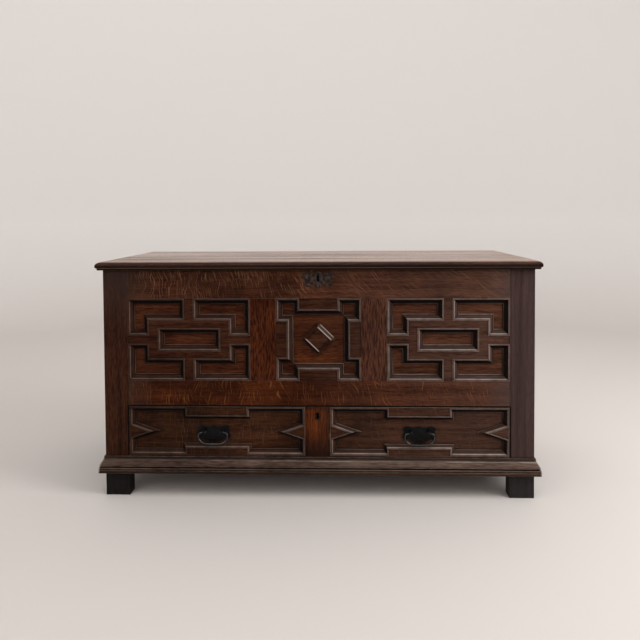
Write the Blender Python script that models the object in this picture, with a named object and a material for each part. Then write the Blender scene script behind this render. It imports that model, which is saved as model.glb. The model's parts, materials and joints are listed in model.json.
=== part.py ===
"""Joined oak mule chest: panelled carcase, hinged lid, two side-hung drawers and iron fittings.

Metres, +Z up, +X to the viewer's right, and the front faces -Y.
The origin is on the floor, under the middle of the chest's outline.
"""

import math

import bmesh
import bpy
from mathutils import Matrix, Vector

# Clearances
GAP = 0.0003
DRAWER_CLEARANCE = 0.001
OVERLAP = 0.002

# Carcase: overall frame
BODY_WIDTH = 1.324
BODY_DEPTH = 0.528
STILE_WIDTH = 0.075
STILE_DEPTH = 0.045
RAIL_THICKNESS = 0.034
END_RAIL_THICKNESS = 0.030
MUNTIN_WIDTH = 0.080
CENTRE_PANEL_WIDTH = 0.261
# The muntins, the lozenge and the lock sit this far to the right of the middle
CENTRE_OFFSET = 0.004
DIVIDER_WIDTH = 0.076
BOTTOM_RAIL_BOTTOM = 0.076
BOTTOM_RAIL_HEIGHT = 0.050
DRAWER_OPENING_HEIGHT = 0.154
MID_RAIL_HEIGHT = 0.080
PANEL_OPENING_HEIGHT = 0.255
TOP_RAIL_HEIGHT = 0.089

# Joints of the frame
TENON_THICKNESS = 0.010
TENON_LENGTH = 0.030
END_TENON_LENGTH = 0.018
TENON_SHOULDER = 0.013

# Panels and boards
PANEL_THICKNESS = 0.010
PANEL_GROOVE = 0.009
END_PANEL_SETBACK = 0.008
LOWER_BOARD_THICKNESS = 0.014
FLOOR_THICKNESS = 0.014
FLOOR_ABOVE_RAIL_BOTTOM = 0.045
FLOOR_HOUSING = 0.007

# Geometric mouldings of the front
FRET_SETBACK = 0.002
FRET_DEPTH = 0.013
FRET_MARGIN = 0.0018
MOULDING_WIDTH = 0.0175
MOULDING_LIP = 0.0012
MOULDING_PROUD = 0.0015
MOULDING_FILLET = 0.0025
MOULDING_STEP = 0.0027
MOULDING_QUIRK = 0.0012
MOULDING_BEAD_WIDTH = 0.0035
MOULDING_BEAD_HEIGHT = 0.0032
MOULDING_BEAD_STEPS = 4
MOULDING_FOOT = 0.0005
HOLLOW_ACROSS = 0.40
HOLLOW_DOWN = 0.62
HOLLOW_STEPS = 4
CORNER_ARM_WIDTH = 0.0625
CORNER_ARM_HEIGHT = 0.0655
UPRIGHT_STRAP = 0.030
CROSS_STRAP = 0.028
FIELD_STRAP_SIDE = 0.030
FIELD_STRAP_TOP = 0.0255
CENTRE_BLOCK_WIDTH = 0.120
CENTRE_BLOCK_HEIGHT = 0.114
CENTRE_BLOCK_DEPTH = 0.033
LOZENGE_HALF_WIDTH = 0.055
LOZENGE_HALF_HEIGHT = 0.053
LOZENGE_MOULDING = 0.013
LOZENGE_HEIGHT = 0.011
LOZENGE_SINK = 0.003
LOZENGE_STEPS = 3

# Base moulding
BASE_HEIGHT = 0.050
BASE_BOTTOM = 0.074
BASE_PROJECTION = 0.018
BASE_FASCIA = 0.010
BASE_BEAD = 0.008
BASE_GROOVE_DEPTH = 0.006
BASE_GROOVE_HEIGHT = 0.0025
BASE_TOP_PROJECTION = 0.004
BASE_SLOPE_SETBACK = 0.002
BASE_OGEE_SWELL = 0.0012
BASE_BEAD_STEPS = 6
OGEE_STEPS = 8

# Lid
LID_THICKNESS = 0.026
LID_END_OVERHANG = 0.018
LID_FRONT_OVERHANG = 0.022
LID_ROUND = 0.022
LID_NOSE_BOTTOM = 0.008
LID_NOSE_TOP = 0.014
LID_FILLET_INSET = 0.005
LID_FILLET_HEIGHT = 0.005
LID_ROUND_STEPS = 8

# Hinges
HINGE_FROM_END = 0.242
STRAP_LENGTH = 0.330
STRAP_WIDTH = 0.034
STRAP_TIP_WIDTH = 0.018
STRAP_THICKNESS = 0.003
KNUCKLE_RADIUS = 0.0065
KNUCKLE_LENGTH = 0.024
PIN_RADIUS = 0.0035
PIN_CLEARANCE = 0.0005
HINGE_BEHIND = 0.0095
LEAF_WIDTH = 0.060
LEAF_HEIGHT = 0.064
LEAF_THICKNESS = 0.003

# Lock of the well
LOCK_WIDTH = 0.094
LOCK_HEIGHT = 0.060
LOCK_DEPTH = 0.018
LOCK_WALL = 0.002
LOCK_BELOW_RAIL = 0.004
BOLT_LENGTH = 0.050
BOLT_HEIGHT = 0.008
BOLT_THICKNESS = 0.006
BOLT_GUIDE = 0.003
STAPLE_THICKNESS = 0.004
STAPLE_WIDTH = 0.011
STAPLE_EYE = 0.010
STAPLE_EYE_WALL = 0.003
STAPLE_SLACK = 0.002
STAPLE_PLATE = 0.026
STAPLE_PLATE_THICKNESS = 0.002
KEYHOLE_WIDTH = 0.008
KEYHOLE_HEIGHT = 0.020
KEYHOLE_BELOW_RAIL = 0.016
KEYHOLE_ARC = (-60, 240)
KEYHOLE_ARC_STEPS = 8
DIVIDER_KEYHOLE_BELOW = 0.019
DIVIDER_KEYHOLE_DEPTH = 0.020
ESCUTCHEON_WIDTH = 0.100
ESCUTCHEON_HEIGHT = 0.056
ESCUTCHEON_THICKNESS = 0.0015
ESCUTCHEON_BELOW_RAIL = 0.005
# Right-hand edge from the pendant up to the crest, as shares of half the width and half the height
ESCUTCHEON_EDGE = (
    (0.00, -1.00),
    (0.12, -0.74),
    (0.30, -0.45),
    (0.62, -0.72),
    (0.86, -0.30),
    (0.74, 0.00),
    (1.00, 0.38),
    (0.74, 0.86),
    (0.34, 0.78),
    (0.00, 1.00),
)

# Drawers
DRAWER_DEPTH = 0.450
DRAWER_FRONT_THICKNESS = 0.024
DRAWER_RECESS = 0.012
DRAWER_MOULDING_WIDTH = 0.0170
DRAWER_NARROW_SHARE = 0.73
DRAWER_SIDE_THICKNESS = 0.018
DRAWER_SIDE_HEIGHT = 0.138
DRAWER_SIDE_CLEARANCE = 0.002
DRAWER_SIDE_HOUSING = 0.009
DRAWER_BACK_THICKNESS = 0.014
DRAWER_BACK_HOUSING = 0.005
DRAWER_BACK_INSET = 0.014
DRAWER_BACK_DROP = 0.010
DRAWER_BOTTOM_THICKNESS = 0.008
DRAWER_BOTTOM_LIFT = 0.007
DRAWER_BOTTOM_HOUSING = 0.006
DRAWER_TOP_BLOCK_WIDTH = 0.188
DRAWER_TOP_BLOCK_DEPTH = 0.026
DRAWER_BOTTOM_BLOCK_WIDTH = 0.190
DRAWER_BOTTOM_BLOCK_DEPTH = 0.021
DRAWER_POINT_BASE = 0.040
DRAWER_POINT_DEPTH = 0.058
DRAWER_POINT_LIFT = -0.003
RUNNER_HEIGHT = 0.016
RUNNER_WIDTH = 0.020
RUNNER_LIP = 0.0075
RUNNER_HOUSING = 0.010
RUNNER_ABOVE_OPENING = 0.062
RUNNER_PLAY = 0.001

# Drop handles
HANDLE_OFFSET = {"left": -0.011, "right": 0.001}
HANDLE_ABOVE_OPENING = 0.074
HANDLE_PLATE_WIDTH = 0.104
HANDLE_PLATE_HEIGHT = 0.044
HANDLE_PLATE_THICKNESS = 0.0015
HANDLE_PLATE_DROP = 0.005
# Right-hand edge of the plate from the bottom up, as shares of half the width and half the height
HANDLE_EDGE = (
    (0.00, -0.86),
    (0.30, -1.00),
    (0.60, -0.74),
    (0.86, -0.96),
    (1.00, -0.40),
    (0.90, 0.12),
    (0.98, 0.66),
    (0.72, 1.00),
    (0.36, 0.80),
    (0.00, 0.98),
)
POST_SPACING = 0.055
POST_STAND_OFF = 0.0185
POST_RADIUS = 0.0040
POST_HEAD_RADIUS = 0.0066
SHANK_RADIUS = 0.0025
SHANK_CLENCH = 0.003
BAIL_RADIUS = 0.0026
BAIL_SWELL = 1.45
BAIL_WIDTH = 0.098
BAIL_DROP = 0.0355
BAIL_PIN_CLEARANCE = 0.0008
# Right-hand arm from the post down, as shares of half the width, of the drop and of the swelling
BAIL_ARM = (
    (0.93, 0.07, 0.0),
    (1.00, 0.30, 0.1),
    (0.96, 0.56, 0.3),
    (0.82, 0.80, 0.6),
    (0.60, 0.95, 0.8),
    (0.30, 1.00, 1.0),
)

# Fineness of the round shapes
CIRCLE_SIDES = 14
HEAD_RINGS = 10
CURVE_STEPS = 4
BAIL_ROUNDNESS = 3
WELD = 0.00001

# Places that follow from the sizes
FRONT = -(BODY_DEPTH + LID_FRONT_OVERHANG + HINGE_BEHIND + KNUCKLE_RADIUS) / 2 + LID_FRONT_OVERHANG
BACK = FRONT + BODY_DEPTH
SIDE = BODY_WIDTH / 2
OPENING_EDGE = SIDE - STILE_WIDTH
DRAWER_FLOOR = BOTTOM_RAIL_BOTTOM + BOTTOM_RAIL_HEIGHT
MID_RAIL_BOTTOM = DRAWER_FLOOR + DRAWER_OPENING_HEIGHT
MID_RAIL_TOP = MID_RAIL_BOTTOM + MID_RAIL_HEIGHT
TOP_RAIL_BOTTOM = MID_RAIL_TOP + PANEL_OPENING_HEIGHT
RAIL_TOP = TOP_RAIL_BOTTOM + TOP_RAIL_HEIGHT
PANEL_MIDDLE = (MID_RAIL_TOP + TOP_RAIL_BOTTOM) / 2
PANEL_FACE = FRONT + FRET_SETBACK + FRET_DEPTH + GAP
LID_BOTTOM = RAIL_TOP + GAP
STRAP_TOP = LID_BOTTOM - GAP
HINGE_Y = BACK + HINGE_BEHIND
HINGE_Z = STRAP_TOP - KNUCKLE_RADIUS
FLOOR_TOP = MID_RAIL_BOTTOM + FLOOR_ABOVE_RAIL_BOTTOM
RUNNER_BOTTOM = DRAWER_FLOOR + RUNNER_ABOVE_OPENING
SIDES = (("left", -1), ("right", 1))
UPPER_RAILS = (("top", TOP_RAIL_BOTTOM, RAIL_TOP), ("mid", MID_RAIL_BOTTOM, MID_RAIL_TOP))

CHEST = None
CUTTERS = None


def make_collection(name):
    collection = bpy.data.collections.new(name)
    bpy.context.scene.collection.children.link(collection)
    return collection


def make_finish(name, colour, roughness, metallic=0.0):
    finish = bpy.data.materials.new(name)
    finish.use_nodes = True
    shader = finish.node_tree.nodes["Principled BSDF"]
    shader.inputs["Base Color"].default_value = (*colour, 1.0)
    shader.inputs["Roughness"].default_value = roughness
    shader.inputs["Metallic"].default_value = metallic
    return finish


def add_object(name, mesh, location, finish):
    """A part when it has a finish, and otherwise a hidden cutter or joiner."""
    piece = bpy.data.objects.new(name, mesh)
    piece.location = location
    if finish:
        mesh.materials.append(finish)
        CHEST.objects.link(piece)
    else:
        CUTTERS.objects.link(piece)
        piece.hide_render = True
        piece.display_type = "WIRE"
    return piece


def mesh_from(shape, name):
    bmesh.ops.recalc_face_normals(shape, faces=shape.faces)
    mesh = bpy.data.meshes.new(name)
    shape.to_mesh(mesh)
    shape.free()
    return mesh


def box(name, low, high, finish=None):
    low, high = Vector(low), Vector(high)
    shape = bmesh.new()
    bmesh.ops.create_cube(shape, size=1.0)
    bmesh.ops.scale(shape, vec=high - low, verts=shape.verts)
    return add_object(name, mesh_from(shape, name), (low + high) / 2, finish)


def rod(name, start, end, radius, finish=None):
    """A round bar between two points."""
    start, end = Vector(start), Vector(end)
    along = end - start
    shape = bmesh.new()
    bmesh.ops.create_cone(
        shape, cap_ends=True, segments=CIRCLE_SIDES, radius1=radius, radius2=radius, depth=along.length
    )
    bmesh.ops.rotate(shape, matrix=along.to_track_quat("Z", "Y").to_matrix(), verts=shape.verts)
    return add_object(name, mesh_from(shape, name), (start + end) / 2, finish)


def ball(name, middle, radius, finish=None):
    shape = bmesh.new()
    bmesh.ops.create_uvsphere(shape, u_segments=CIRCLE_SIDES, v_segments=HEAD_RINGS, radius=radius)
    return add_object(name, mesh_from(shape, name), middle, finish)


def loft(name, rings, finish=None, closed=False):
    """A skin through rings with equal numbers of points: capped at its ends, or run round to its start."""
    shape = bmesh.new()
    loops = [[shape.verts.new(point) for point in ring] for ring in rings]
    pairs = list(zip(loops, loops[1:]))
    if closed:
        pairs.append((loops[-1], loops[0]))
    else:
        shape.faces.new(loops[0])
        shape.faces.new(loops[-1])
    for lower, upper in pairs:
        for here in range(len(lower)):
            there = (here + 1) % len(lower)
            shape.faces.new((lower[here], lower[there], upper[there], upper[here]))
    return add_object(name, mesh_from(shape, name), (0, 0, 0), finish)


def boolean(target, tool, operation):
    modifier = target.modifiers.new(operation.lower() + "_" + tool.name, "BOOLEAN")
    modifier.operation = operation
    modifier.object = tool
    return target


def join(target, tool):
    return boolean(target, tool, "UNION")


def cut(target, tool):
    return boolean(target, tool, "DIFFERENCE")


def house(name, low, high, hosts):
    """Cut the seat of a box-shaped piece, with its clearance, into the pieces that hold it."""
    room = Vector((GAP, GAP, GAP))
    seat = box(name + "_seat", Vector(low) - room, Vector(high) + room)
    for host in hosts:
        cut(host, seat)


def span(sign, inner, outer):
    """The lower and upper X of a stretch given for the right-hand side."""
    return tuple(sorted((sign * inner, sign * outer)))


def add_tenons(member, low, high, along, across, length, hosts):
    """A tenon at each end of a member, and its mortise in the piece that the end meets."""
    middle = (low[across] + high[across]) / 2
    for end, host in zip(("low", "high"), hosts):
        tenon_low, tenon_high = Vector(low), Vector(high)
        for axis in range(3):
            tenon_low[axis] += TENON_SHOULDER
            tenon_high[axis] -= TENON_SHOULDER
        tenon_low[across] = middle - TENON_THICKNESS / 2
        tenon_high[across] = middle + TENON_THICKNESS / 2
        if end == "low":
            tenon_low[along] = low[along] - length
            tenon_high[along] = low[along] + OVERLAP
        else:
            tenon_low[along] = high[along] - OVERLAP
            tenon_high[along] = high[along] + length
        name = member.name + "_" + end + "_tenon"
        join(member, box(name, tenon_low, tenon_high))
        house(name, tenon_low, tenon_high, [host])


def framed(name, low, high, along, across, length, hosts, finish):
    """A rail, muntin or divider that is tenoned into the two pieces at its ends."""
    low, high = Vector(low), Vector(high)
    low[along] += GAP
    high[along] -= GAP
    member = box(name, low, high, finish)
    add_tenons(member, low, high, along, across, length, hosts)
    return member


def inset(outline, distance, shares=None):
    """An anticlockwise outline moved inwards, with mitred corners. Shares scale the move edge by edge."""
    shares = shares or [1.0] * len(outline)
    inner = []
    for here, corner in enumerate(outline):
        before = (corner - outline[here - 1]).normalized()
        after = (outline[(here + 1) % len(outline)] - corner).normalized()
        left_of_before = Vector((-before.y, before.x))
        left_of_after = Vector((-after.y, after.x))
        lean = left_of_before.dot(left_of_after)
        from_before, from_after = distance * shares[here - 1], distance * shares[here]
        move = left_of_before * (from_before - from_after * lean)
        move += left_of_after * (from_after - from_before * lean)
        inner.append(corner + move / (1 - lean * lean))
    return inner


def upright(outline, y):
    """Points of a flat outline, stood up in the plane at a depth."""
    return [(point.x, y, point.y) for point in outline]


def prism(name, outline, near, far, finish=None):
    return loft(name, [upright(outline, near), upright(outline, far)], finish)


def hollow_curve(start, end, steps):
    """Points along a hollow slope, from start to end."""
    pull = (
        start[0] + (end[0] - start[0]) * HOLLOW_ACROSS,
        start[1] + (end[1] - start[1]) * HOLLOW_DOWN,
    )
    points = []
    for step in range(steps + 1):
        share = step / steps
        weights = ((1 - share) ** 2, 2 * share * (1 - share), share ** 2)
        corners = zip(weights, (start, pull, end))
        weighted = [(weight * corner[0], weight * corner[1]) for weight, corner in corners]
        points.append((sum(x for x, _ in weighted), sum(z for _, z in weighted)))
    return points


def moulding_section(width, depth):
    """Inward distance and height of a panel moulding: fillet, quirk, hollow slope, quirk and round bead."""
    top = depth + MOULDING_PROUD
    bead_start = width - MOULDING_BEAD_WIDTH
    slope_start = (MOULDING_FILLET + MOULDING_QUIRK, top - MOULDING_STEP + MOULDING_QUIRK)
    slope_end = (bead_start - MOULDING_QUIRK / 2, MOULDING_BEAD_HEIGHT + MOULDING_QUIRK / 2)
    bead = []
    for step in range(MOULDING_BEAD_STEPS):
        angle = math.pi * (1 - step / MOULDING_BEAD_STEPS)
        bead.append((
            bead_start + MOULDING_BEAD_WIDTH / 2 * (1 + math.cos(angle)),
            MOULDING_QUIRK + (MOULDING_BEAD_HEIGHT - MOULDING_QUIRK) * math.sin(angle),
        ))
    return [
        (-MOULDING_LIP, MOULDING_FOOT),
        (-MOULDING_LIP, top),
        (MOULDING_FILLET, top),
        (MOULDING_FILLET, top - MOULDING_STEP),
        *hollow_curve(slope_start, slope_end, HOLLOW_STEPS),
        *bead,
        (width, MOULDING_FOOT),
    ]


def run_moulding(name, outline, section, floor, shares=None):
    """Mitred lengths of moulding round the inside of an outline, over a recess floor at a depth."""
    rings = [upright(inset(outline, inward, shares), floor - height) for inward, height in section]
    return loft(name, rings, closed=True)


def rectangle(left, bottom, right, top):
    return [Vector(point) for point in ((left, bottom), (right, bottom), (right, top), (left, top))]


def mirrored(outline, sign_x, sign_z):
    turned = [Vector((point.x * sign_x, point.y * sign_z)) for point in outline]
    return turned if sign_x * sign_z > 0 else turned[::-1]


def moved(outline, x, z):
    return [point + Vector((x, z)) for point in outline]


def corner_recess(half_width, half_height):
    """The L-shaped recess of a side panel's upper right corner."""
    arm_left = half_width - CORNER_ARM_WIDTH
    arm_bottom = half_height - CORNER_ARM_HEIGHT
    return [
        Vector((UPRIGHT_STRAP / 2, arm_bottom)),
        Vector((arm_left, arm_bottom)),
        Vector((arm_left, CROSS_STRAP / 2)),
        Vector((half_width, CROSS_STRAP / 2)),
        Vector((half_width, half_height)),
        Vector((UPRIGHT_STRAP / 2, half_height)),
    ]


def side_recesses(half_width, half_height):
    corner = corner_recess(half_width, half_height)
    field_width = half_width - CORNER_ARM_WIDTH - FIELD_STRAP_SIDE
    field_height = half_height - CORNER_ARM_HEIGHT - FIELD_STRAP_TOP
    corners = [mirrored(corner, sign_x, sign_z) for sign_x in (-1, 1) for sign_z in (-1, 1)]
    return corners + [rectangle(-field_width, -field_height, field_width, field_height)]


def centre_recess(half_width, half_height):
    """The cross-shaped recess of the middle panel, with a block standing in from each side."""
    block_x, block_z = CENTRE_BLOCK_WIDTH / 2, CENTRE_BLOCK_HEIGHT / 2
    inner_x, inner_z = half_width - CENTRE_BLOCK_DEPTH, half_height - CENTRE_BLOCK_DEPTH
    quarter = [
        Vector((inner_x, block_z)),
        Vector((half_width, block_z)),
        Vector((half_width, half_height)),
        Vector((block_x, half_height)),
        Vector((block_x, inner_z)),
    ]
    turns = ((1, 1), (-1, 1), (-1, -1), (1, -1))
    return [point for turn in turns for point in mirrored(quarter, *turn)]


def drawer_recess(half_width, bottom, top, points_at):
    """The recess of a drawer front: a block above and below, and a flat point at each end."""
    bottom_block, top_block = DRAWER_BOTTOM_BLOCK_WIDTH / 2, DRAWER_TOP_BLOCK_WIDTH / 2
    point_low, point_high = points_at - DRAWER_POINT_BASE / 2, points_at + DRAWER_POINT_BASE / 2
    tip = half_width - DRAWER_POINT_DEPTH
    right = [
        (bottom_block, bottom + DRAWER_BOTTOM_BLOCK_DEPTH),
        (bottom_block, bottom),
        (half_width, bottom),
        (half_width, point_low),
        (tip, points_at),
        (half_width, point_high),
        (half_width, top),
        (top_block, top),
        (top_block, top - DRAWER_TOP_BLOCK_DEPTH),
    ]
    left = [(-x, z) for x, z in reversed(right)]
    return [Vector(point) for point in right + left]


def drawer_shares(outline, half_width, bottom, top):
    """Full width along the drawer's own edges, and a narrower moulding round its blocks and points."""
    shares = []
    for here, start in enumerate(outline):
        end = outline[(here + 1) % len(outline)]
        on_side = all(abs(abs(point.x) - half_width) < WELD for point in (start, end))
        on_level = any(
            all(abs(point.y - level) < WELD for point in (start, end)) for level in (bottom, top)
        )
        shares.append(1.0 if on_side or on_level else DRAWER_NARROW_SHARE)
    return shares


def shaped_plate(name, right_edge, size, thickness, face, middle, finish):
    """A symmetric plate with curved edges on an upright face. Its edge is in shares of its half size."""
    curve = bpy.data.curves.new(name, "CURVE")
    curve.dimensions = "2D"
    curve.fill_mode = "BOTH"
    curve.extrude = thickness / 2
    curve.resolution_u = CURVE_STEPS
    points = list(right_edge) + [(-x, z) for x, z in reversed(right_edge[1:-1])]
    spline = curve.splines.new("BEZIER")
    spline.bezier_points.add(len(points) - 1)
    spline.use_cyclic_u = True
    for knot, (x, z) in zip(spline.bezier_points, points):
        knot.co = (x * size[0] / 2, z * size[1] / 2, 0)
        knot.handle_left_type = "AUTO"
        knot.handle_right_type = "AUTO"
    drawn = bpy.data.objects.new(name + "_outline", curve)
    CUTTERS.objects.link(drawn)
    bpy.context.view_layer.update()
    graph = bpy.context.evaluated_depsgraph_get()
    mesh = bpy.data.meshes.new_from_object(drawn.evaluated_get(graph))
    bpy.data.objects.remove(drawn)
    shape = bmesh.new()
    shape.from_mesh(mesh)
    bpy.data.meshes.remove(mesh)
    bmesh.ops.remove_doubles(shape, verts=shape.verts, dist=WELD)
    bmesh.ops.rotate(shape, matrix=Matrix.Rotation(math.pi / 2, 3, "X"), verts=shape.verts)
    return add_object(name, mesh_from(shape, name), (middle[0], face - thickness / 2, middle[1]), finish)


def ride_on(carrier, pieces):
    """Parent pieces to an empty and leave them where they are."""
    for piece in pieces:
        piece.parent = carrier
        piece.matrix_parent_inverse = Matrix.Translation(carrier.location).inverted()


def make_empty(name, location):
    empty = bpy.data.objects.new(name, None)
    empty.location = location
    CHEST.objects.link(empty)
    return empty


def make_stiles(finish):
    """The four posts, whose lower ends are the feet."""
    stiles = {}
    depths = (("front", FRONT, FRONT + STILE_DEPTH), ("rear", BACK - STILE_DEPTH, BACK))
    for end, near, far in depths:
        for side, sign in SIDES:
            left, right = span(sign, OPENING_EDGE, SIDE)
            stiles[end, side] = box(
                f"{end}_{side}_stile", (left, near, 0), (right, far, RAIL_TOP), finish
            )
    return stiles


def make_front(stiles, finishes):
    """Rails, muntins, divider, panels and mouldings of the front."""
    inner = FRONT + RAIL_THICKNESS
    pair = (stiles["front", "left"], stiles["front", "right"])
    rails = {}
    for level, low, high in (*UPPER_RAILS, ("bottom", BOTTOM_RAIL_BOTTOM, DRAWER_FLOOR)):
        corners = ((-OPENING_EDGE, FRONT, low), (OPENING_EDGE, inner, high))
        rails[level] = framed(
            f"front_{level}_rail", *corners, 0, 1, TENON_LENGTH, pair, finishes["frame"]
        )
    muntins = {}
    muntin_inner = CENTRE_PANEL_WIDTH / 2
    muntin_outer = muntin_inner + MUNTIN_WIDTH
    for side, sign in SIDES:
        left, right = (edge + CENTRE_OFFSET for edge in span(sign, muntin_inner, muntin_outer))
        corners = ((left, FRONT, MID_RAIL_TOP), (right, inner, TOP_RAIL_BOTTOM))
        hosts = (rails["mid"], rails["top"])
        muntins[side] = framed(
            f"{side}_front_muntin", *corners, 2, 1, TENON_LENGTH, hosts, finishes["frame"]
        )
    corners = ((-DIVIDER_WIDTH / 2, FRONT, DRAWER_FLOOR), (DIVIDER_WIDTH / 2, inner, MID_RAIL_BOTTOM))
    hosts = (rails["bottom"], rails["mid"])
    divider = framed("drawer_divider", *corners, 2, 1, TENON_LENGTH, hosts, finishes["divider"])
    inner_edges = [CENTRE_OFFSET + sign * muntin_inner for sign in (-1, 1)]
    outer_edges = [CENTRE_OFFSET + sign * muntin_outer for sign in (-1, 1)]
    openings = (
        ("left", -OPENING_EDGE, outer_edges[0], [pair[0], muntins["left"]]),
        ("centre", *inner_edges, [muntins["left"], muntins["right"]]),
        ("right", outer_edges[1], OPENING_EDGE, [muntins["right"], pair[1]]),
    )
    for place, left, right, uprights in openings:
        hosts = uprights + [rails["mid"], rails["top"]]
        make_front_panel(place, left, right, hosts, finishes)
    return rails, divider


def make_front_panel(place, left, right, hosts, finishes):
    """A panel board in its grooves, with its straps and mitred mouldings."""
    name = f"{place}_front_panel"
    low = (left - PANEL_GROOVE, PANEL_FACE, MID_RAIL_TOP - PANEL_GROOVE)
    high = (right + PANEL_GROOVE, PANEL_FACE + PANEL_THICKNESS, TOP_RAIL_BOTTOM + PANEL_GROOVE)
    box(name, low, high, finishes["panel"])
    house(name, low, high, hosts)

    middle = (left + right) / 2
    half_width = (right - left) / 2 - FRET_MARGIN
    half_height = PANEL_OPENING_HEIGHT / 2 - FRET_MARGIN
    floor = FRONT + FRET_SETBACK + FRET_DEPTH
    name = f"{place}_panel_moulding"
    straps = box(
        name,
        (left + GAP, FRONT + FRET_SETBACK, MID_RAIL_TOP + GAP),
        (right - GAP, floor, TOP_RAIL_BOTTOM - GAP),
        finishes["moulding"],
    )
    if place == "centre":
        recesses = [centre_recess(half_width, half_height)]
    else:
        recesses = side_recesses(half_width, half_height)
    section = moulding_section(MOULDING_WIDTH, FRET_DEPTH)
    for number, recess in enumerate(recesses):
        outline = moved(recess, middle, PANEL_MIDDLE)
        cut(straps, prism(f"{name}_recess_{number}", outline, FRONT - OVERLAP, floor + OVERLAP))
        join(straps, run_moulding(f"{name}_run_{number}", outline, section, floor))


def make_lozenge(finish):
    """Moulded lozenge with a sunk middle, applied to the centre panel."""
    half = (LOZENGE_HALF_WIDTH, LOZENGE_HALF_HEIGHT)
    rhombus = [Vector(point) for point in ((0, -half[1]), (half[0], 0), (0, half[1]), (-half[0], 0))]
    outline = moved(rhombus, CENTRE_OFFSET, PANEL_MIDDLE)
    fillet_start = LOZENGE_MOULDING - MOULDING_FILLET
    slope_start = (fillet_start - MOULDING_QUIRK, LOZENGE_HEIGHT - MOULDING_QUIRK)
    slope_end = (MOULDING_BEAD_WIDTH + MOULDING_QUIRK / 2, MOULDING_BEAD_HEIGHT + MOULDING_QUIRK / 2)
    slope = hollow_curve(slope_start, slope_end, LOZENGE_STEPS)
    steps = (
        (0.0, 0.0),
        (0.0, MOULDING_BEAD_HEIGHT),
        (MOULDING_BEAD_WIDTH, MOULDING_BEAD_HEIGHT),
        (MOULDING_BEAD_WIDTH, MOULDING_QUIRK),
        *reversed(slope),
        (fillet_start, LOZENGE_HEIGHT - MOULDING_STEP),
        (fillet_start, LOZENGE_HEIGHT),
        (LOZENGE_MOULDING, LOZENGE_HEIGHT),
        (LOZENGE_MOULDING, LOZENGE_HEIGHT - LOZENGE_SINK),
    )
    seat = PANEL_FACE - GAP
    rings = [upright(inset(outline, inward), seat - rise) for inward, rise in steps]
    loft("lozenge_boss", rings, finish)


def make_ends(stiles, finishes):
    """Rails, panel and lower board of each end."""
    mid_rails = {}
    for side, sign in SIDES:
        hosts = (stiles["front", side], stiles["rear", side])
        left, right = span(sign, SIDE - END_RAIL_THICKNESS, SIDE)
        rails = {}
        for level, bottom, top in UPPER_RAILS:
            corners = ((left, FRONT + STILE_DEPTH, bottom), (right, BACK - STILE_DEPTH, top))
            rails[level] = framed(
                f"{side}_end_{level}_rail", *corners, 1, 0, END_TENON_LENGTH, hosts, finishes["frame"]
            )
        mid_rails[side] = rails["mid"]
        near, far = FRONT + STILE_DEPTH - PANEL_GROOVE, BACK - STILE_DEPTH + PANEL_GROOVE
        outer = SIDE - END_PANEL_SETBACK
        boards = (
            ("panel", PANEL_THICKNESS, MID_RAIL_TOP - PANEL_GROOVE, TOP_RAIL_BOTTOM + PANEL_GROOVE),
            ("lower_board", LOWER_BOARD_THICKNESS, BOTTOM_RAIL_BOTTOM, MID_RAIL_BOTTOM + PANEL_GROOVE),
        )
        for kind, thickness, bottom, top in boards:
            left, right = span(sign, outer - thickness, outer)
            name = f"{side}_end_{kind}"
            box(name, (left, near, bottom), (right, far, top), finishes["panel"])
            house(name, (left, near, bottom), (right, far, top), [*hosts, *rails.values()])
    return mid_rails


def make_back(stiles, finishes):
    """Plain rails, panel and lower board of the back."""
    hosts = (stiles["rear", "left"], stiles["rear", "right"])
    inner = BACK - END_RAIL_THICKNESS
    rails = {}
    for level, bottom, top in UPPER_RAILS:
        corners = ((-OPENING_EDGE, inner, bottom), (OPENING_EDGE, BACK, top))
        rails[level] = framed(
            f"back_{level}_rail", *corners, 0, 1, TENON_LENGTH, hosts, finishes["inner"]
        )
    edge = OPENING_EDGE + PANEL_GROOVE
    far = BACK - END_PANEL_SETBACK
    boards = (
        ("panel", PANEL_THICKNESS, MID_RAIL_TOP - PANEL_GROOVE, TOP_RAIL_BOTTOM + PANEL_GROOVE),
        ("lower_board", LOWER_BOARD_THICKNESS, BOTTOM_RAIL_BOTTOM, MID_RAIL_BOTTOM + PANEL_GROOVE),
    )
    made = {}
    for kind, thickness, bottom, top in boards:
        low, high = (-edge, far - thickness, bottom), (edge, far, top)
        made[kind] = box(f"back_{kind}", low, high, finishes["inner"])
        house(f"back_{kind}", low, high, [*hosts, *rails.values()])
    return rails, made["lower_board"]


def make_floor(mid_rails, finish):
    """Two boards housed in the middle rails and notched round the stiles."""
    near = FRONT + RAIL_THICKNESS - FLOOR_HOUSING
    far = BACK - END_RAIL_THICKNESS + FLOOR_HOUSING
    edge = SIDE - END_RAIL_THICKNESS + FLOOR_HOUSING
    middle = (near + far) / 2
    boards = (("front", near, middle - GAP / 2), ("rear", middle + GAP / 2, far))
    room = Vector((GAP, GAP, GAP))
    for place, board_near, board_far in boards:
        low = (-edge, board_near, FLOOR_TOP - FLOOR_THICKNESS)
        high = (edge, board_far, FLOOR_TOP)
        name = f"well_floor_{place}_board"
        board = box(name, low, high, finish)
        house(name, low, high, mid_rails)
        notch_near, notch_far = FRONT, FRONT + STILE_DEPTH
        if place == "rear":
            notch_near, notch_far = BACK - STILE_DEPTH, BACK
        for side, sign in SIDES:
            left, right = span(sign, OPENING_EDGE, SIDE)
            stile_low = Vector((left, notch_near, low[2] - OVERLAP))
            stile_high = Vector((right, notch_far, high[2] + OVERLAP))
            cut(board, box(f"{name}_{side}_notch", stile_low - room, stile_high + room))


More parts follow.
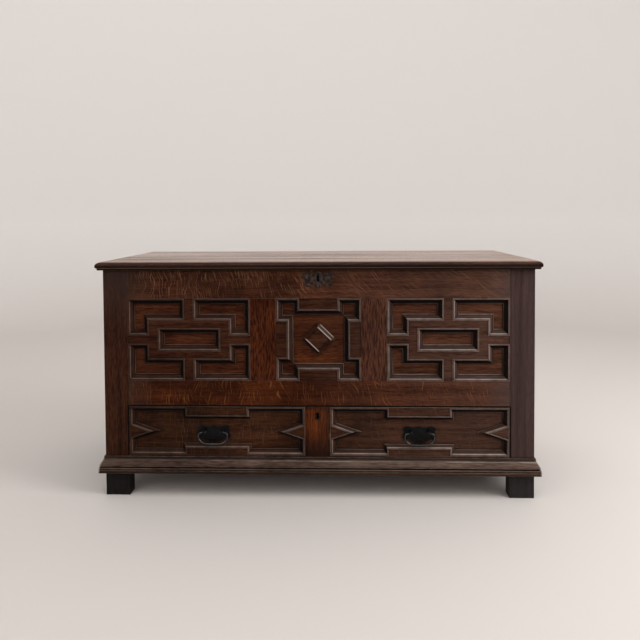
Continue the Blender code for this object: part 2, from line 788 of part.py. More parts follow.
def make_runners(stiles, divider, back_board, finish):
    """Bars that the grooved drawer sides hang on: one at each end and one that serves both drawers."""
    top = RUNNER_BOTTOM + RUNNER_HEIGHT
    for side, sign in SIDES:
        left, right = span(sign, OPENING_EDGE - RUNNER_LIP, OPENING_EDGE - RUNNER_LIP + RUNNER_WIDTH)
        low = (left, FRONT + STILE_DEPTH - RUNNER_HOUSING, RUNNER_BOTTOM)
        high = (right, BACK - STILE_DEPTH + RUNNER_HOUSING, top)
        name = f"{side}_drawer_runner"
        box(name, low, high, finish)
        house(name, low, high, (stiles["front", side], stiles["rear", side]))
    half = DIVIDER_WIDTH / 2 + RUNNER_LIP
    back_face = BACK - END_PANEL_SETBACK - LOWER_BOARD_THICKNESS
    low = (-half, FRONT + RAIL_THICKNESS - RUNNER_HOUSING, RUNNER_BOTTOM)
    high = (half, back_face + LOWER_BOARD_THICKNESS / 2, top)
    box("centre_drawer_runner", low, high, finish)
    house("centre_drawer_runner", low, high, (divider, back_board))


def base_section():
    """Projection and height of the base moulding: fascia, bead, groove and a sloping ogee."""
    bead_top = BASE_FASCIA + BASE_BEAD
    groove_top = bead_top + BASE_GROOVE_HEIGHT
    points = [(GAP, 0.0), (BASE_PROJECTION, 0.0), (BASE_PROJECTION, BASE_FASCIA)]
    bead_radius = BASE_BEAD / 2
    for step in range(1, BASE_BEAD_STEPS):
        angle = math.pi * step / BASE_BEAD_STEPS - math.pi / 2
        points.append((
            BASE_PROJECTION - bead_radius + bead_radius * math.cos(angle),
            BASE_FASCIA + bead_radius + bead_radius * math.sin(angle),
        ))
    groove_bottom = BASE_PROJECTION - BASE_GROOVE_DEPTH
    points += [(groove_bottom, bead_top), (groove_bottom, groove_top)]
    slope_start = BASE_PROJECTION - BASE_SLOPE_SETBACK
    slope_top = BASE_HEIGHT - BASE_GROOVE_HEIGHT
    for step in range(OGEE_STEPS + 1):
        share = step / OGEE_STEPS
        bulge = math.sin(2 * math.pi * share) * BASE_OGEE_SWELL
        points.append((
            slope_start + (BASE_TOP_PROJECTION - slope_start) * share + bulge,
            groove_top + (slope_top - groove_top) * share,
        ))
    points += [(BASE_TOP_PROJECTION, BASE_HEIGHT), (GAP, BASE_HEIGHT)]
    return points


def make_base(finish):
    """The base moulding on three sides, mitred at the front corners."""
    section = base_section()
    ends = []
    for sign in (-1, 1):
        ends.append([(sign * (SIDE + out - GAP), FRONT - out, BASE_BOTTOM + rise) for out, rise in section])
    loft("base_moulding_front", ends, finish)
    for side, sign in SIDES:
        mitre = [(sign * (SIDE + out), FRONT - out + GAP, BASE_BOTTOM + rise) for out, rise in section]
        square = [(sign * (SIDE + out), BACK, BASE_BOTTOM + rise) for out, rise in section]
        loft(f"base_moulding_{side}", [mitre, square], finish)


def make_lid(finish):
    """Edge-glued boards with a thumb-moulded edge on the front and ends."""
    profile = [
        (LID_FILLET_INSET, 0.0),
        (LID_FILLET_INSET, LID_FILLET_HEIGHT),
        (0.0, LID_NOSE_BOTTOM),
        (0.0, LID_NOSE_TOP),
    ]
    for step in range(1, LID_ROUND_STEPS + 1):
        angle = math.pi / 2 * step / LID_ROUND_STEPS
        profile.append((
            LID_ROUND * (1 - math.cos(angle)),
            LID_NOSE_TOP + (LID_THICKNESS - LID_NOSE_TOP) * math.sin(angle),
        ))
    half = SIDE + LID_END_OVERHANG
    rings = []
    for inward, rise in profile:
        x, near, z = half - inward, FRONT - LID_FRONT_OVERHANG + inward, LID_BOTTOM + rise
        rings.append([(-x, near, z), (x, near, z), (x, BACK, z), (-x, BACK, z)])
    return loft("lid", rings, finish)


def make_hinges(back_rail, finish):
    """Strap hinges: a tapered strap under the lid, and a leaf with the pin on the back."""
    straps = []
    strap_bottom = STRAP_TOP - STRAP_THICKNESS
    for side, sign in SIDES:
        middle = sign * (SIDE - HINGE_FROM_END)
        name = f"{side}_hinge_strap"
        right_edge = [
            (STRAP_TIP_WIDTH / 2, HINGE_Y - STRAP_LENGTH),
            (STRAP_WIDTH / 2, BACK - OVERLAP),
            (KNUCKLE_LENGTH / 2, BACK),
            (KNUCKLE_LENGTH / 2, HINGE_Y),
        ]
        plan = [(middle + x, y) for x, y in right_edge] + [(middle - x, y) for x, y in reversed(right_edge)]
        rings = [[(x, y, z) for x, y in plan] for z in (strap_bottom, STRAP_TOP)]
        strap = loft(name, rings, finish)
        ends = [(middle + part * KNUCKLE_LENGTH / 2, HINGE_Y, HINGE_Z) for part in (-1, 1)]
        join(strap, rod(name + "_knuckle", *ends, KNUCKLE_RADIUS))
        bore_ends = [Vector(end) + Vector((part * OVERLAP, 0, 0)) for part, end in zip((-1, 1), ends)]
        cut(strap, rod(name + "_bore", *bore_ends, PIN_RADIUS + PIN_CLEARANCE))
        straps.append(strap)
        low = (middle - STRAP_WIDTH / 2, BACK - END_RAIL_THICKNESS - OVERLAP, strap_bottom)
        high = (middle + STRAP_WIDTH / 2, BACK + OVERLAP, RAIL_TOP + OVERLAP)
        house(name, low, high, [back_rail])

        name = f"{side}_hinge_leaf"
        leaf_top = HINGE_Z - KNUCKLE_RADIUS - GAP
        low = (middle - LEAF_WIDTH / 2, BACK + GAP, leaf_top - LEAF_HEIGHT)
        high = (middle + LEAF_WIDTH / 2, BACK + GAP + LEAF_THICKNESS, leaf_top)
        leaf = box(name, low, high, finish)
        pin_ends = [(middle + part * LEAF_WIDTH / 2, HINGE_Y, HINGE_Z) for part in (-1, 1)]
        for part, pin_end in zip((-1, 1), pin_ends):
            inner = middle + part * (KNUCKLE_LENGTH / 2 + 2 * GAP)
            neck = sorted((inner, pin_end[0]))
            join(leaf, box(
                f"{name}_neck_{part}",
                (neck[0], BACK + GAP, leaf_top - OVERLAP),
                (neck[1], HINGE_Y, HINGE_Z),
            ))
            join(leaf, rod(f"{name}_knuckle_{part}", (inner, HINGE_Y, HINGE_Z), pin_end, KNUCKLE_RADIUS))
        join(leaf, rod(name + "_pin", *pin_ends, PIN_RADIUS))
    return straps


def keyhole_outline():
    """A round top over a slot that widens downwards."""
    radius = KEYHOLE_WIDTH / 2
    top = KEYHOLE_HEIGHT / 2 - radius
    start, end = KEYHOLE_ARC
    points = []
    for step in range(KEYHOLE_ARC_STEPS + 1):
        angle = math.radians(start + (end - start) * step / KEYHOLE_ARC_STEPS)
        points.append((radius * math.cos(angle), top + radius * math.sin(angle)))
    points += [(-radius, -KEYHOLE_HEIGHT / 2), (radius, -KEYHOLE_HEIGHT / 2)]
    return [Vector(point) for point in points]


def make_lock(top_rail, finish):
    """Escutcheon, case and bolt on the top rail, and the staple that hangs from the lid."""
    inner = FRONT + RAIL_THICKNESS
    key_top = RAIL_TOP - KEYHOLE_BELOW_RAIL
    key_middle = (CENTRE_OFFSET, key_top - KEYHOLE_HEIGHT / 2)
    outline = keyhole_outline()
    hole = prism("keyhole", moved(outline, *key_middle), FRONT - OVERLAP * 2, inner + OVERLAP)
    cut(top_rail, hole)

    plate_size = (ESCUTCHEON_WIDTH, ESCUTCHEON_HEIGHT)
    plate_middle = (CENTRE_OFFSET, RAIL_TOP - ESCUTCHEON_BELOW_RAIL - ESCUTCHEON_HEIGHT / 2)
    escutcheon = shaped_plate(
        "lock_escutcheon",
        ESCUTCHEON_EDGE,
        plate_size,
        ESCUTCHEON_THICKNESS,
        FRONT - GAP,
        plate_middle,
        finish,
    )
    cut(escutcheon, hole)

    left_wall, right_wall = CENTRE_OFFSET - LOCK_WIDTH / 2, CENTRE_OFFSET + LOCK_WIDTH / 2
    case_top = RAIL_TOP - LOCK_BELOW_RAIL
    case_near, case_far = inner + GAP, inner + GAP + LOCK_DEPTH
    case_bottom = case_top - LOCK_HEIGHT
    case = box("lock_case", (left_wall, case_near, case_bottom), (right_wall, case_far, case_top), finish)
    cut(case, box(
        "lock_hollow",
        (left_wall + LOCK_WALL, case_near - OVERLAP, case_bottom + LOCK_WALL),
        (right_wall - LOCK_WALL, case_far - LOCK_WALL, case_top - LOCK_WALL),
    ))
    eye_middle = case_top - LOCK_WALL - STAPLE_EYE
    bolt_bottom = eye_middle - BOLT_HEIGHT / 2
    bolt_far = (case_near + case_far - LOCK_WALL + BOLT_THICKNESS) / 2
    bolt_right = CENTRE_OFFSET + BOLT_LENGTH / 2
    bolt_left = bolt_right - BOLT_LENGTH
    join(case, box(
        "bolt_guide",
        (left_wall + LOCK_WALL / 2, bolt_far - BOLT_THICKNESS, bolt_bottom - GAP - BOLT_GUIDE),
        (right_wall - LOCK_WALL / 2, case_far - LOCK_WALL / 2, bolt_bottom - GAP),
    ))
    bolt = box(
        "lock_bolt",
        (bolt_left, bolt_far - BOLT_THICKNESS, bolt_bottom),
        (bolt_right, bolt_far, bolt_bottom + BOLT_HEIGHT),
        finish,
    )

    staple_left = bolt_right + STAPLE_SLACK
    staple_right = staple_left + STAPLE_THICKNESS
    staple_middle = bolt_far - BOLT_THICKNESS / 2
    staple_near, staple_far = staple_middle - STAPLE_WIDTH / 2, staple_middle + STAPLE_WIDTH / 2
    side_slack = STAPLE_SLACK / 2
    slot_bottom = bolt_bottom - BOLT_GUIDE - STAPLE_EYE_WALL * 2
    cut(case, box(
        "staple_slot",
        (staple_left - side_slack, staple_near - STAPLE_SLACK, slot_bottom),
        (staple_right + side_slack, staple_far + STAPLE_SLACK, case_top + OVERLAP),
    ))
    plate_top = LID_BOTTOM - GAP
    staple = box(
        "lock_staple",
        (staple_left, staple_near, eye_middle - STAPLE_EYE / 2 - STAPLE_EYE_WALL),
        (staple_right, staple_far, plate_top),
        finish,
    )
    staple_x = (staple_left + staple_right) / 2
    join(staple, box(
        "staple_plate",
        (staple_x - STAPLE_PLATE / 2, staple_near, plate_top - STAPLE_PLATE_THICKNESS),
        (staple_x + STAPLE_PLATE / 2, staple_far + STAPLE_PLATE_THICKNESS, plate_top),
    ))
    eye_reach = (BOLT_THICKNESS + STAPLE_SLACK) / 2
    cut(staple, box(
        "staple_eye",
        (staple_left - OVERLAP, staple_middle - eye_reach, eye_middle - STAPLE_EYE / 2),
        (staple_right + OVERLAP, staple_middle + eye_reach, eye_middle + STAPLE_EYE / 2),
    ))
    return staple, bolt


def cut_divider_keyhole(divider):
    middle = MID_RAIL_BOTTOM - DIVIDER_KEYHOLE_BELOW - KEYHOLE_HEIGHT / 2
    outline = moved(keyhole_outline(), 0, middle)
    cut(divider, prism("divider_keyhole", outline, FRONT - OVERLAP, FRONT + DIVIDER_KEYHOLE_DEPTH))


def make_drawer(side, sign, finishes):
    """One drawer: a moulded front, grooved sides, back and bottom."""
    left, right = span(sign, DIVIDER_WIDTH / 2, OPENING_EDGE)
    middle = (left + right) / 2
    bottom, top = DRAWER_FLOOR + DRAWER_CLEARANCE, MID_RAIL_BOTTOM - DRAWER_CLEARANCE
    rear = FRONT + DRAWER_FRONT_THICKNESS
    front = box(
        f"{side}_drawer_front",
        (left + DRAWER_CLEARANCE, FRONT, bottom),
        (right - DRAWER_CLEARANCE, rear, top),
        finishes["drawer"],
    )
    half_width = (right - left) / 2 - DRAWER_CLEARANCE - FRET_MARGIN
    points_at = (bottom + top) / 2 + DRAWER_POINT_LIFT
    edges = (bottom + FRET_MARGIN, top - FRET_MARGIN)
    recess = drawer_recess(half_width, *edges, points_at)
    shares = drawer_shares(recess, half_width, *edges)
    outline = moved(recess, middle, 0)
    floor = FRONT + DRAWER_RECESS
    cut(front, prism(f"{side}_drawer_recess", outline, FRONT - OVERLAP, floor))
    section = moulding_section(DRAWER_MOULDING_WIDTH, DRAWER_RECESS)
    sunk = [(inward, -OVERLAP if height == MOULDING_FOOT else height) for inward, height in section]
    join(front, run_moulding(f"{side}_drawer_run", outline, sunk, floor, shares))

    inner_left = left + DRAWER_SIDE_CLEARANCE + DRAWER_SIDE_THICKNESS
    inner_right = right - DRAWER_SIDE_CLEARANCE - DRAWER_SIDE_THICKNESS
    side_near, side_far = rear - DRAWER_SIDE_HOUSING, FRONT + DRAWER_DEPTH
    side_top = bottom + DRAWER_CLEARANCE + DRAWER_SIDE_HEIGHT
    walls = {}
    for hand, wall_left in (("left", inner_left - DRAWER_SIDE_THICKNESS), ("right", inner_right)):
        low = (wall_left, side_near, bottom + DRAWER_CLEARANCE)
        high = (wall_left + DRAWER_SIDE_THICKNESS, side_far, side_top)
        name = f"{side}_drawer_{hand}_side"
        walls[hand] = box(name, low, high, finishes["inner"])
        house(name, low, high, [front])
    lip = RUNNER_LIP + RUNNER_PLAY
    grooves = (("left", left - OVERLAP, left + lip), ("right", right - lip, right + OVERLAP))
    for hand, groove_left, groove_right in grooves:
        cut(walls[hand], box(
            f"{side}_drawer_{hand}_groove",
            (groove_left, side_near - OVERLAP, RUNNER_BOTTOM - RUNNER_PLAY),
            (groove_right, side_far + OVERLAP, RUNNER_BOTTOM + RUNNER_HEIGHT + GAP),
        ))

    board_bottom = bottom + DRAWER_BOTTOM_LIFT
    board_top = board_bottom + DRAWER_BOTTOM_THICKNESS
    board_low = (inner_left - DRAWER_BOTTOM_HOUSING, rear - DRAWER_BOTTOM_HOUSING, board_bottom)
    board_high = (inner_right + DRAWER_BOTTOM_HOUSING, side_far, board_top)
    name = f"{side}_drawer_bottom"
    board = box(name, board_low, board_high, finishes["inner"])
    house(name, board_low, board_high, [front, *walls.values()])

    back_far = side_far - DRAWER_BACK_INSET
    low = (inner_left - DRAWER_BACK_HOUSING, back_far - DRAWER_BACK_THICKNESS, board_top + GAP)
    high = (inner_right + DRAWER_BACK_HOUSING, back_far, side_top - DRAWER_BACK_DROP)
    name = f"{side}_drawer_back"
    back = box(name, low, high, finishes["inner"])
    house(name, low, (high[0], high[1], side_top + OVERLAP), walls.values())
    plate, bail = make_handle(side, middle + HANDLE_OFFSET[side], front, floor, finishes["iron"])
    return [front, *walls.values(), board, back, plate, bail]


def make_handle(side, middle, front, floor, finish):
    """A shaped plate with two drilled posts through the drawer front, and the bail that hangs in them."""
    level = DRAWER_FLOOR + HANDLE_ABOVE_OPENING
    name = f"{side}_handle_plate"
    plate = shaped_plate(
        name,
        HANDLE_EDGE,
        (HANDLE_PLATE_WIDTH, HANDLE_PLATE_HEIGHT),
        HANDLE_PLATE_THICKNESS,
        floor - GAP,
        (middle, level - HANDLE_PLATE_DROP),
        finish,
    )
    axis = floor - POST_STAND_OFF
    shank_end = FRONT + DRAWER_FRONT_THICKNESS + SHANK_CLENCH
    reach = Vector((POST_HEAD_RADIUS + OVERLAP, 0, 0))
    for hand, sign in SIDES:
        post = f"{name}_{hand}_post"
        post_x = middle + sign * POST_SPACING / 2
        eye = Vector((post_x, axis, level))
        hole_end = (post_x, shank_end + OVERLAP, level)
        cut(front, rod(post + "_hole", eye, hole_end, SHANK_RADIUS + GAP))
        join(plate, rod(post + "_shank", eye, (post_x, shank_end, level), SHANK_RADIUS))
        join(plate, rod(post + "_stem", eye, (post_x, floor - GAP * 2, level), POST_RADIUS))
        join(plate, ball(post + "_head", eye, POST_HEAD_RADIUS))
        cut(plate, rod(post + "_bore", eye - reach, eye + reach, BAIL_RADIUS + BAIL_PIN_CLEARANCE))
    return plate, make_bail(side, (middle, axis, level), finish)


def make_bail(side, pivot, finish):
    """A swan-neck bail whose ends turn in to the posts. Its origin is on its hinge axis."""
    pin_end = POST_SPACING / 2 - POST_HEAD_RADIUS
    pin_out = POST_SPACING / 2 + POST_HEAD_RADIUS
    wide = BAIL_WIDTH / 2 - BAIL_RADIUS * BAIL_SWELL
    half = [(pin_end, 0.0, 1.0), (pin_out, 0.0, 1.0)]
    for out, down, swelling in BAIL_ARM:
        half.append((out * wide, -down * BAIL_DROP, 1 + (BAIL_SWELL - 1) * swelling))
    path = [(-x, z, swell) for x, z, swell in half] + [(x, z, swell) for x, z, swell in reversed(half)]
    curve = bpy.data.curves.new(f"{side}_bail", "CURVE")
    curve.dimensions = "3D"
    curve.bevel_depth = BAIL_RADIUS
    curve.bevel_resolution = BAIL_ROUNDNESS
    curve.resolution_u = CURVE_STEPS
    curve.use_fill_caps = True
    spline = curve.splines.new("BEZIER")
    spline.bezier_points.add(len(path) - 1)
    for number, (knot, (x, z, swell)) in enumerate(zip(spline.bezier_points, path)):
        knot.co = (x, 0, z)
        knot.radius = swell
        in_post = number in (0, len(path) - 1)
        knot.handle_left_type = "VECTOR" if in_post else "AUTO"
        knot.handle_right_type = "VECTOR" if in_post else "AUTO"
    curve.materials.append(finish)
    bail = bpy.data.objects.new(f"{side}_bail", curve)
    bail.location = pivot
    CHEST.objects.link(bail)
    return bail


def build():
    global CHEST, CUTTERS
    for old in list(bpy.data.objects):
        bpy.data.objects.remove(old, do_unlink=True)
    CHEST = make_collection("oak_mule_chest")
    CUTTERS = make_collection("cutters")
    finishes = {
        "frame": make_finish("frame_oak", (0.055, 0.026, 0.017), 0.45),
        "panel": make_finish("panel_oak", (0.045, 0.022, 0.014), 0.50),
        "moulding": make_finish("moulding_oak", (0.040, 0.022, 0.016), 0.42),
        "divider": make_finish("divider_oak", (0.085, 0.032, 0.015), 0.42),
        "drawer": make_finish("drawer_front_oak", (0.042, 0.022, 0.014), 0.45),
        "base": make_finish("base_oak", (0.060, 0.038, 0.028), 0.55),
        "lid": make_finish("lid_oak", (0.075, 0.040, 0.028), 0.40),
        "inner": make_finish("dry_oak", (0.110, 0.070, 0.040), 0.75),
        "iron": make_finish("black_iron", (0.012, 0.012, 0.013), 0.45, 1.0),
    }
    stiles = make_stiles(finishes["frame"])
    front_rails, divider = make_front(stiles, finishes)
    make_lozenge(finishes["moulding"])
    end_mid_rails = make_ends(stiles, finishes)
    back_rails, back_board = make_back(stiles, finishes)
    mid_rails = [front_rails["mid"], back_rails["mid"], *end_mid_rails.values()]
    make_floor(mid_rails, finishes["inner"])
    make_runners(stiles, divider, back_board, finishes["inner"])
    make_base(finishes["base"])
    cut_divider_keyhole(divider)

    lid = make_lid(finishes["lid"])
    straps = make_hinges(back_rails["top"], finishes["iron"])
    staple, bolt = make_lock(front_rails["top"], finishes["iron"])
    ride_on(make_empty("lid_hinge", (0, HINGE_Y, HINGE_Z)), [lid, *straps, staple])
    ride_on(make_empty("bolt_slide", bolt.location), [bolt])
    for side, sign in SIDES:
        pieces = make_drawer(side, sign, finishes)
        ride_on(make_empty(f"{side}_drawer_slide", (0, FRONT, RUNNER_BOTTOM)), pieces)


build()
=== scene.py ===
"""Looks of the joined oak mule chest: waxed oak, worn mouldings and black iron in a pale studio."""

import json
import math

import bpy
import bmesh
from mathutils import Matrix, Vector

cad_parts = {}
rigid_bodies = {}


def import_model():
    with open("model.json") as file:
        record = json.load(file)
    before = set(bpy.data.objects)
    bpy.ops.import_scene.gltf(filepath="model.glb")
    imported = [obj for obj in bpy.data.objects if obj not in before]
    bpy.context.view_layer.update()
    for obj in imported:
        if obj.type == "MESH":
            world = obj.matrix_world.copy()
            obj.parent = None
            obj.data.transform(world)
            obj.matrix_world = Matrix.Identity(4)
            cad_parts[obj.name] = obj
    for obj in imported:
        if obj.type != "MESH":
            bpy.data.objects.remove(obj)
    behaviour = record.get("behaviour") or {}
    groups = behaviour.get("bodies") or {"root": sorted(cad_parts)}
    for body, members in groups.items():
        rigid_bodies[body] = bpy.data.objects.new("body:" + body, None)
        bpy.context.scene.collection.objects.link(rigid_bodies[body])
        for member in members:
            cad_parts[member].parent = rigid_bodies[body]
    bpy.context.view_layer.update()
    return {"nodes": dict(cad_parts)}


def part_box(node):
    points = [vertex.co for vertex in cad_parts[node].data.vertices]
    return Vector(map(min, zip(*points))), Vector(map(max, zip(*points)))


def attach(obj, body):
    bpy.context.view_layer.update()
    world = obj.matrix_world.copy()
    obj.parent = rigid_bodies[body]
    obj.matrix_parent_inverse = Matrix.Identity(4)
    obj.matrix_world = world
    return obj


for leftover in list(bpy.data.objects):
    bpy.data.objects.remove(leftover, do_unlink=True)
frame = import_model()
NODES = frame["nodes"]

# Camera, fitted to the edges of the chest in the photograph
CAMERA_PLACE = (0.0755, -2.191, 0.870)
CAMERA_YAW = 1.91
CAMERA_PITCH = 1.90
CAMERA_ROLL = -0.335
CAMERA_LENS = 35.6
CAMERA_SHIFT = -0.131
SENSOR = 36.0

# Studio
FLOOR_RADIUS = 3.2
COVE_RADIUS = 0.9
WALL_HEIGHT = 4.0
COVE_STEPS = 12
TURN_STEPS = 96
WALL_FULL = 0.8
FLOOR_COLOUR = (0.610, 0.572, 0.545)
WALL_COLOUR = (0.800, 0.777, 0.765)
FILL_COLOUR = (1.0, 0.98, 0.96)
FILL_STRENGTH = 1.09
KEY_PLACE = (2.5, -1.2, 2.0)
KEY_AIM = (0.0, -0.2, 0.35)
KEY_SIZE = (1.4, 1.8)
KEY_POWER = 62.0
SIDE_PLACE = (-1.6, -2.6, 1.5)
SIDE_AIM = (-0.2, -0.5, 0.0)
SIDE_SIZE = (1.6, 1.2)
SIDE_POWER = 11.0

# The middle of the front, which sits a little to the right
CENTRE_X = 0.004

# Nails, with the places on the lock plate, along the straps and on the leaves
NAIL_RADIUS = 0.0034
NAIL_RISE = 0.0016
NAIL_SIDES = 5
NAIL_RINGS = ((1.0, -0.3), (1.0, 0.2), (0.62, 0.75))
ROOT_BODY = "carcase"
LOCK_NAILS = ((-0.035, 0.680), (0.035, 0.680), (-0.026, 0.658), (0.026, 0.658), (0.000, 0.653))
STRAP_THICKNESS = 0.003
STRAP_NAILS = (0.014, 0.090, 0.170, 0.245)
LEAF_FACE = 0.0033
LEAF_NAILS = ((-0.020, 0.012), (0.020, 0.012), (-0.020, 0.040), (0.020, 0.040))

# Colours of the oak, in pairs from dark to light where the streaks blend them
DRY_TONE = (0.105, 0.0660, 0.0380)
# Pale colour of worn arrises, and of the painted highlight line on the fillet of the mouldings
WORN_COLOUR = (0.420, 0.330, 0.285)
# Colours of painted highlights on the mouldings, warm on the left and cool on the right
RIB_WARM = (0.420, 0.310, 0.250)
RIB_COOL = (0.470, 0.400, 0.375)
# Colour of a dusting and painted light on the top of the base moulding
DUST_COLOUR = (0.150, 0.108, 0.085)
# Colour of the painted highlight line along the top of the base
STREAK_COLOUR = (0.270, 0.225, 0.200)
# Near black, for dirt and dark joints and for painted shade and shadow
DIRT_COLOUR = (0.0035, 0.0028, 0.0026)
POST_BLOOM = (0.0370, 0.0225, 0.0200)
# Grey bloom of the rail ends, painted paler to the right as sheen
RAIL_BLOOM = ((0.036, 0.0200, 0.0135), (0.064, 0.0420, 0.0400))
FOOT_TONES = ((0.0095, 0.0082, 0.0080), (0.0150, 0.0130, 0.0130))
# Paler, greyer tones of painted sheen, which the front turns to towards the right where the light falls
FADED_WARM = ((0.048, 0.0250, 0.0185), (0.125, 0.072, 0.054))
FADED_RED = ((0.055, 0.0240, 0.0140), (0.150, 0.070, 0.042))
FADED_COOL = ((0.047, 0.0298, 0.0275), (0.076, 0.0515, 0.0485))

# Gains that a colour is multiplied by
DARK_STREAK = (0.36, 0.30, 0.26)
LIGHT_STREAK = (1.75, 1.80, 1.80)
FLECK_GAIN = (2.9, 4.4, 5.2)
# Darkening by dirt and painted shade in corners and between parts
GRIME_GAIN = (0.22, 0.18, 0.16)
# Brightening by painted light on a patch
GLOW_GAIN = (2.0, 1.8, 1.2)

# Spans of the front from left to right, over which a look grows; most of them carry painted light and sheen
# from the right
FADE_SPAN = (-0.05, 0.68)
RUB_SPAN = (-0.6, 0.5)
FRONT_SPAN = (-0.6, 0.6)
DUST_SPAN = (-0.6, 0.4)
STREAK_SPAN = (-0.4, 0.4)

# Depths on the mouldings: the top of the fillet, and the two ribs of each slope, where the painted highlights
# lie; and how far the painted shade in the hollows reaches
FILLET_TOP = (-0.2598, -0.2604)
PANEL_RIBS = (-0.2586, -0.2480)
DRAWER_RIBS = (-0.2590, -0.2512)
RIB_REACH = (0.0015, 0.0006)
HOLLOW_START = 0.0018
HOLLOW_FULL = 0.0034

# Places of looks on the chest, with a pair for where a look starts and where it is full
# Painted shadow under the top edge of the base
BASE_BAND = (0.1145, 0.1175)
# Height of the painted highlight line along the base
BASE_STREAK = 0.1130
# Height of the painted shade line between the base's slope and its bead
BASE_GROOVE = 0.0935
BASE_EDGE = (0.0785, 0.0765)
FOOT_TOP = (0.085, 0.070)
DRAWER_GAP_TOP = (0.2850, 0.2834)
DRAWER_GAP_FOOT = (0.270, 0.272)
POST_EDGE = (0.5920, 0.5904)
POST_GAP_TOP = (0.284, 0.282)
POST_GAP_FOOT = (0.126, 0.128)
RAIL_END = (0.500, 0.592)
LID_EDGE = (0.7215, 0.7185)
LID_JOINT = -0.166
DIVIDER_KEYHOLE = 0.251
# How far down the dirt and painted shadow under each bail thin out
GRIME_FADE = 0.008
LOZENGE_MIDDLE = (CENTRE_X, 0.4875)
LOZENGE_HALVES = (0.055, 0.053)

# Painted highlight lines on the lozenge, from -1 at its lower left side to 1 at its upper right, each with
# its strength
LOZENGE_LINES = ((0.690, 0.9), (0.955, 0.6), (-0.670, 0.62))

# Layers of ray flecks, each with strokes to the metre, a seed and a strength
FLECKS = ((85.0, 0.0, 1.0), (150.0, 3.0, 0.85), (120.0, 7.0, 0.75))
FLECK_MIDDLE = 0.62

# Looks of an oak that doesn't say otherwise, where a high calm evens its streaks out
OAK_SHINE = 0.04
PLAIN_LOOK = {
    "top_tone": None,
    "fleck": 0.0,
    "wear": 0.05,
    "arris": 0.003,
    "dust": 0.0,
    "fade": 0.40,
    "faded": FADED_WARM,
    "rough": 0.52,
    "mottle": 0.50,
    "calm": 0.80,
    "stain": (0.66, 0.60, 0.56),
    "foot": False,
    "carved": False,
    "ribs": (),
    "lit": 1.0,
    "bare": None,
    "glow": None,
    "haze": None,
    "seams": (),
}

# Colours of the iron
IRON_TONE = (0.0105, 0.0105, 0.0112)
IRON_STAIN = (0.022, 0.0150, 0.0115)
IRON_BRIGHT = (0.12, 0.115, 0.11)

# Directions that a face of a piece can have
RIGHTWARD = (1.0, 0.0, 0.0)
FRONTWARD = (0.0, -1.0, 0.0)
BACKWARD = (0.0, 1.0, 0.0)
UPWARD = (0.0, 0.0, 1.0)
DOWNWARD = (0.0, 0.0, -1.0)
UP_AND_RIGHT = (0.707, 0.0, 0.707)

# Worn edges and shading of the pieces, with angles in degrees
EDGE_ROUNDING = 0.0006
BOARD_ROUNDING = 0.0005
END_ROUNDING = 0.0008
LID_ROUNDING = 0.0010
WELD_REACH = 0.00002
FLAT_ANGLE = 0.5
BEVEL_ANGLE = 25.0
SMOOTH_ANGLE = 40.0


